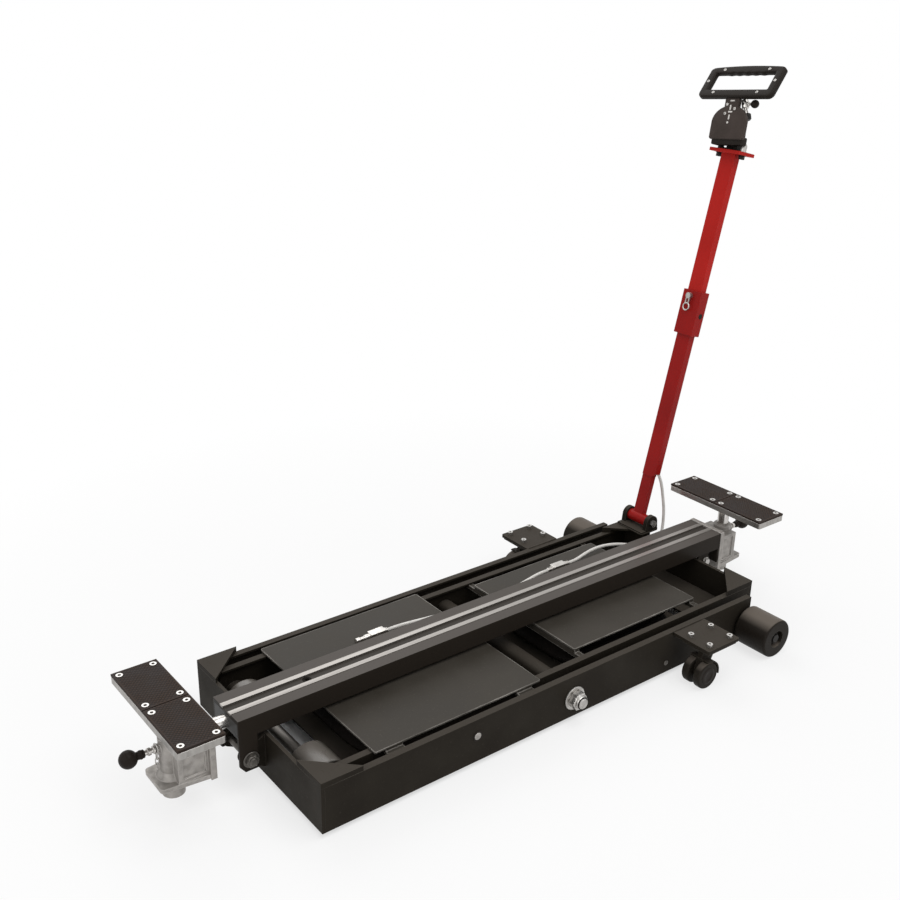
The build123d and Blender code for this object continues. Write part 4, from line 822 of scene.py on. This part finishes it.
class JACK_OT_lever(bpy.types.Operator):
    """Makes the lever that is swung at the top of the handle: cover, neck and loop, with screws and marks"""
    bl_idname = "jack.lever"
    bl_label = "Control lever"

    def execute(self, context):
        cover_u, neck_u, mark = -42, -40, 0.2
        middle = lever(*LOOP_FOOT) + GRIP_UP * LOOP_RISE * MM
        made = piece("control_lever", [
            placed(lever_loop(), middle, GRIP_BACK, LEVER_A),
            on_lever(plate(45, 10, 4, 25, 3, 8), -38, 0, -19),
        ], "moulded_polyamide", "control_grip")
        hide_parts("control_grip")
        piece("lever_cover", [
            on_lever(slab(arched_outline(52, -17, 23, 40, 6), 11, 3), cover_u),
            on_lever(slab(arched_outline(31, -15, 20, 26, 4), 24, 2), -33),
            on_lever(plate(20.5, 35, 3, 12, 2, 8, 8), neck_u, 1, 55),
        ], "stoved_enamel", "control_grip")

        head = lathe([(0, -2), (3.8, -2), (3.8, 0.6), (3.3, 1.2), (1.8, 1.5), (1.4, 0.4), (0, 0.4)], 24)
        screws = []
        for a, b in ((66, 33), (98.5, -0.5), (65, -34)):
            for sign in (-1, 1):
                spot = middle + (LEVER_A * sign * a + GRIP_UP * b - GRIP_BACK * LOOP_DEPTH / 2) * MM
                screws.append(placed(head, spot, -GRIP_BACK))
        for u, a, b in ((neck_u, 13, 65.2), (cover_u, -12.6, 54.7), (cover_u, 13.8, 43.4)):
            screws.append(placed(head, lever(u, a, b), -TUBE_U))
        piece("lever_screws", screws, "zinc_plated_steel", "control_grip")

        dot = disc(2.8, -mark, mark, 0.1, steps=16)
        flat, upright = (plate(w, h, 0.8, 2 * mark, 0.15, arc=4) for w, h in ((6.2, 1.8), (2.0, 5.8)))
        marks = (
            (flat, neck_u - mark, -0.7, 74),
            (upright, cover_u - mark, 0.5, 58),
            (flat, cover_u - mark, -1, 47.6),
            (upright, cover_u - mark, 0.3, 35.2),
            (dot, cover_u, 2, 22.5),
        )
        piece("lever_marks", [on_lever(*m) for m in marks], "printed_ink", "control_grip")
        return {"FINISHED"}


class JACK_OT_valve(bpy.types.Operator):
    """Makes the hand valve beside the lever"""
    bl_idname = "jack.valve"
    bl_label = "Hand valve"

    def execute(self, context):
        foot, stem_b, port_level, ball = lever(VALVE_U, -37, 32), 70, 39, 10.0
        stem = lathe([(0, 0), (5, 0), (5, 10), (4, 11), (4, 20), (0, 20)], 24)
        body = lathe([(0, 14), (5.5, 14), (5.5, 22), (4.5, 23), (4.5, 29), (8, 29.5), (9, 31), (9, 48),
                      (8, 50), (0, 50)], 32)
        made = piece("valve_body", [
            placed(body, foot, VALVE_UP),
            placed(stem, lever(VALVE_U, -26, stem_b), -LEVER_A),
        ], "nickel_plated_brass", "control_grip")
        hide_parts("air_valve")
        # Black disc on the body: painted shade for the valve's port
        port_shade_disc = disc(3.6, 8.6, 9.4, 0.2, steps=20)
        piece("valve_hex", [
            placed(hexagon(19, 0, 15), foot, VALVE_UP),
            placed(port_shade_disc, foot + VALVE_UP * port_level * MM, -TUBE_U),
        ], "black_oxide_steel", "control_grip")
        knob = lathe([(0, -10), (4.4, -10), (4.4, -8.9)] + dome(ball, ball, 0, -1.2, 20), 32)
        made = piece("valve_ball", [placed(knob, lever(VALVE_U, -52, stem_b), -LEVER_A)], "moulded_polyamide",
                     "valve_knob")
        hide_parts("valve_knob")
        return {"FINISHED"}


class JACK_OT_fasteners(bpy.types.Operator):
    """Makes the nuts of the centre pivot and the bolts at both ends of the beam"""
    bl_idname = "jack.fasteners"
    bl_label = "Pivot nuts and bolts"

    def execute(self, context):
        lock_nut = [
            disc(27, STUD_SEAT, 254, 0.8, STUD_R),
            hexagon(LOCK_NUT_FLATS, 254, 271.5),
            lathe([(STUD_R, 271), (15.6, 271), (15.6, 274), (14.6, 276), (STUD_R, 276.5), (STUD_R, 271)]),
        ]
        made = piece("pivot_lock_nuts", both_sides(lock_nut, *PIVOT), "zinc_plated_steel", "outer_frame",
                     30)
        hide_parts("pivot_nuts")
        insert = disc(14.2, 276, 277, 0.3, STUD_R)
        piece("pivot_nut_inserts", both_sides([insert], *PIVOT), "moulded_polyamide", "outer_frame")
        head = [
            disc(17, BEAM_HALF, 54),
            hexagon(24, 54, 62),
            lathe([(0, 62), (8, 62), (8, 63), (7, 64), (0, 64)]),
        ]
        shank = placed(disc(8, -BEAM_HALF, BEAM_HALF), at(BEAM_PIN[0], 0, BEAM_PIN[1]), Y)
        made = piece("beam_hinge_bolt", both_sides(head, *BEAM_PIN) + [shank], "drawn_steel", "beam",
                     30)
        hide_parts("beam_pivot_bolt")
        lug_bolt = [disc(11, 43, 45, 0.4), hexagon(16, 45, 51)]
        piece("slide_lug_bolts", both_sides(lug_bolt, *SLIDE_BOLT), "zinc_plated_steel", "inner_frame",
              30)
        return {"FINISHED"}


class JACK_OT_rail_trim(bpy.types.Operator):
    """Makes the stop pins with their collars and the plugs in the outer rails"""
    bl_idname = "jack.rail_trim"
    bl_label = "Stop pins and plugs"

    def execute(self, context):
        collar = disc(11.5, -1, 1.2, 0.5, 8)
        stop = lathe([(0, -1), (8, -1), (8, 1.4), (7, 2.4), (0, 2.4)], 28)
        plug = lathe([(0, -1), (6, -1), (6, 1), (5, 1.8), (0, 1.8)], 28)
        trim = (
            ("stop_collars", collar, STOP_PIN, "moulded_polyamide", "black_plastic"),
            ("stop_pins", stop, STOP_PIN, "sand_cast_aluminium", "grey_casting"),
            ("rail_plugs", plug, RAIL_PLUG, "drawn_steel", "bright_zinc"),
        )
        for name, shape, spot, coat, slot in trim:
            piece(name, both_sides([shape], *spot, RAIL_Y), coat, "outer_frame", 30)
        return {"FINISHED"}


class JACK_OT_beam_trim(bpy.types.Operator):
    """Makes a black rubber ring as painted shade round the beam's hole, and the plate that closes its right
    end downwards
    """
    bl_idname = "jack.beam_trim"
    bl_label = "Beam grommet and end plate"

    def execute(self, context):
        bore = BEAM_HOLE_R
        # Black ring round the hole: painted shade that makes its mouth look wider and dark
        hole_shade_ring = lathe([(bore, -4), (9.5, -4), (9.5, 0.1), (9.1, 0.4), (5.2, 0.4), (bore, 0),
                         (bore, -4)], 32)
        piece("beam_hole_painted_shade", [placed(hole_shade_ring, at(*BEAM_HOLE))], "moulded_rubber", "beam", 30)
        closure = plate(BEAM_HALF - 0.5, 20, 2, 4, 0.4)
        piece("beam_end_closure", [placed(closure, at(*BEAM_CLOSURE), X, Y)], "powder_coated_steel", "beam")
        return {"FINISHED"}


class JACK_OT_flange(bpy.types.Operator):
    """Makes the bolts and the stepped gasket of the handle's flange, and a black disc as painted shade for
    the hole in the handle's sleeve
    """
    bl_idname = "jack.flange"
    bl_label = "Handle flange"

    def execute(self, context):
        washer, nut_low = FLANGE_LOW - 1.5, FLANGE_LOW - 10
        foot = [(0, FLANGE_TOP), (9, FLANGE_TOP), (9, FLANGE_TOP + 1.5), (7.5, FLANGE_TOP + 1.5)]
        cap = lathe(foot + dome(7.5, 9, FLANGE_TOP + 12, 0, 9), 28)
        lower = (disc(9, washer, FLANGE_LOW, 0.3, steps=28), hexagon(13, nut_low, washer))
        near, far = (placed(cap, tiller(0, v, 0), TUBE_W) for v in FLANGE_BOLTS)
        nuts = [placed(p, tiller(0, v, 0), TUBE_W) for v in FLANGE_BOLTS for p in lower]
        piece("flange_bolts", [near], "zinc_plated_steel", "handle", 30)
        piece("flange_nuts", nuts + [far], "black_oxide_steel", "handle", 30)

        # Half sizes, thickness and middle of the gasket's steps, each sunk a little into the flange
        sunk = 0.05
        steps = ((29.5, 45.5, 0.35, 4, 0), (20, 22, 2.3, -4, 0), (20, 17, 4.0, -4, PIN_V))
        sheets = []
        for half_u, half_v, depth, u, v in steps:
            sheet = plate(half_u, half_v, 3, depth, 0.3 * depth)
            sheets.append(placed(sheet, tiller(u, v, FLANGE_TOP - sunk), TUBE_W, TUBE_U))
        piece("flange_gasket", sheets, "moulded_rubber", "handle")
        # Black disc on the sleeve's near side: painted shade standing for its hole
        hole_shade_disc = placed(disc(7, -0.5, 0.3, 0.2, steps=28), tiller(*SLEEVE_HOLE), -Y)
        piece("sleeve_hole_painted_shade", [hole_shade_disc], "moulded_polyamide", "handle")
        return {"FINISHED"}


class JACK_OT_castors(bpy.types.Operator):
    """Makes the castors' hub caps and the welds of their brackets and of the handle's lugs"""
    bl_idname = "jack.castors"
    bl_label = "Castor caps and welds"

    def execute(self, context):
        cap = lathe([(0, 24), (20, 24), (20, 25.8), (18.5, 26.3), (12, 27), (11, 26.4), (4, 26.6), (0, 26.6)])
        bracket_seam, lug_seam = 5.5, 4.5
        seams = []
        for side, sign in SIDES.items():
            hub = at(CASTOR_HUB[0], sign * CASTOR_Y, CASTOR_HUB[1])
            caps = [placed(cap, hub, face * Y) for face in (-1, 1)]
            piece(f"castor_hub_caps_{side}", caps, "moulded_polyamide", f"castor_wheels_{side}")
            start, end = (at(x, sign * RAIL_Y, RAIL_TOP) for x in BRACKET_WELD)
            seams.append(weld(start, end, bracket_seam))
        piece("castor_bracket_welds", seams, "powder_coated_steel", "outer_frame", 60)
        (x0, x1), (y0, y1) = LUG_WELD_X, LUG_WELD_Y
        base = [at(x, y, LUG_WELD_Z) for x, y in ((x0, y0), (x1, y0), (x1, y1), (x0, y1))]
        seams = [weld(start, end, lug_seam) for start, end in zip(base, base[1:] + base[:1])]
        piece("handle_lug_welds", seams, "powder_coated_steel", "inner_frame", 60)
        return {"FINISHED"}


def barrel(length):
    """End of a hose fitting from its block at Z = 0: a broad root, a neck and a round release collar."""
    steps = ((0, 0), (7, 0), (7, 0.35), (5, 0.4), (5, 0.68), (6.2, 0.72), (6.2, 0.94), (5.6, 1), (0, 1))
    return lathe([(radius, share * length) for radius, share in steps], 28)


def fitting_block(x, y, z, width, height):
    """Block of a hose fitting, 20 mm deep, that stands on a point of the drawing."""
    return placed(plate(width / 2, 10, 2.5, height, 1.2, 6, 4, 4), at(x, y, z))


def panel_fitting(low, high, middle):
    """Hose fitting along X on a panel: a block with a barrel at each end."""
    width, height = 40, 16
    first, last = middle - width / 2, middle + width / 2
    return [fitting_block(middle, FITTING_Y, PANEL_TOP, width, height),
            placed(barrel(first - low), at(first, FITTING_Y, FITTING_Z), -X),
            placed(barrel(high - last), at(last, FITTING_Y, FITTING_Z), X)]


class JACK_OT_fittings(bpy.types.Operator):
    """Makes the hose fittings on the panels and under the handle"""
    bl_idname = "jack.fittings"
    bl_label = "Hose fittings"

    def execute(self, context):
        left = panel_fitting(-290, -208, -235)
        made = piece("left_hose_fitting", left, "nickel_plated_brass", "outer_frame", 30)
        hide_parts("left_fitting")
        right = panel_fitting(268, 337, 304)
        collar = lathe([(0, -11), (8, -11), (8, -8), (5, -7.5), (5, -3), (6, -2.5), (6, 0), (0, 0)], 28)
        sleeve = lathe([(0, -1), (9, -1), (9, 4), (6.5, 4.5), (6.5, 10), (0, 10)], 28)
        right += [fitting_block(INLET[0] - 13, INLET[1], 34, 46, 20), placed(collar, at(*INLET)),
                  placed(sleeve, at(*OUTLET), X)]
        made = piece("right_hose_fittings", right, "nickel_plated_brass", "inner_frame", 30)
        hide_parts("right_fittings")
        return {"FINISHED"}


def folded_bag(half_x, half_y, height):
    """Bag of two bellows folds on Z = 0: a rounded outline whose size swells twice over the height."""
    squareness = 0.4
    level = np.linspace(0, 1, 41)[:, None]
    swell = 0.86 + 0.14 * np.abs(np.sin(level * TURN))
    turn = np.linspace(0, TURN, 96, endpoint=False)
    x = half_x * np.sign(np.cos(turn)) * np.abs(np.cos(turn)) ** squareness
    y = half_y * np.sign(np.sin(turn)) * np.abs(np.sin(turn)) ** squareness
    hoops = np.stack([swell * x, swell * y, np.repeat(level * height, len(turn), axis=1)], axis=-1)
    return grid(np.concatenate([hoops[:1] * Z, hoops, hoops[-1:] * Z]), wrap_v=True)


class JACK_OT_air_bags(bpy.types.Operator):
    """Makes the two folded air bags under the panels"""
    bl_idname = "jack.air_bags"
    bl_label = "Air bags"

    def execute(self, context):
        bags = (
            # End, first and last x, half width, height of the tray, bodies of tray and panel
            ("left", -452, -72, 184, 38.4, ("inner_frame", "outer_frame")),
            ("right", 104, 456, 156, 22.4, ("outer_frame", "inner_frame")),
        )
        for end, start, stop, half, low, bodies in bags:
            middle = (start + stop) / 2
            foot, roof = at(middle, 0, low), at(middle, 0, BAG_TOP)
            skin = placed(folded_bag((stop - start) / 2 * MM, half * MM, (BAG_TOP - low) * MM), foot)
            made = piece(f"{end}_air_bag_skin", [skin], "moulded_rubber", None, 60)
            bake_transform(made)
            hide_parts(f"{end}_air_bag")
        return {"FINISHED"}


OPERATORS = (JACK_OT_finishes, JACK_OT_stage, JACK_OT_hoses, JACK_OT_saddles, JACK_OT_plungers, JACK_OT_lever,
             JACK_OT_valve, JACK_OT_fasteners, JACK_OT_rail_trim, JACK_OT_beam_trim, JACK_OT_flange,
             JACK_OT_castors, JACK_OT_fittings, JACK_OT_air_bags)


class JACK_PT_panel(bpy.types.Panel):
    """Colours, sizes and building steps of the jack"""
    bl_label = "Air scissor jack"
    bl_idname = "JACK_PT_panel"
    bl_space_type = "VIEW_3D"
    bl_region_type = "UI"
    bl_category = "Jack"

    def draw(self, context):
        for group in (context.scene.jack_colours, context.scene.jack_sizes):
            for name in group.__annotations__:
                self.layout.prop(group, name)
        for step in OPERATORS:
            self.layout.operator(step.bl_idname)


CLASSES = (JackColours, JackSizes, *OPERATORS, JACK_PT_panel)


def register():
    for entry in CLASSES:
        bpy.utils.register_class(entry)
    bpy.types.Scene.jack_colours = bpy.props.PointerProperty(type=JackColours)
    bpy.types.Scene.jack_sizes = bpy.props.PointerProperty(type=JackSizes)


def unregister():
    del bpy.types.Scene.jack_sizes
    del bpy.types.Scene.jack_colours
    for entry in reversed(CLASSES):
        bpy.utils.unregister_class(entry)


def main():
    register()
    for step in OPERATORS:
        group, name = step.bl_idname.split(".")
        getattr(getattr(bpy.ops, group), name)()


if __name__ == "__main__":
    main()
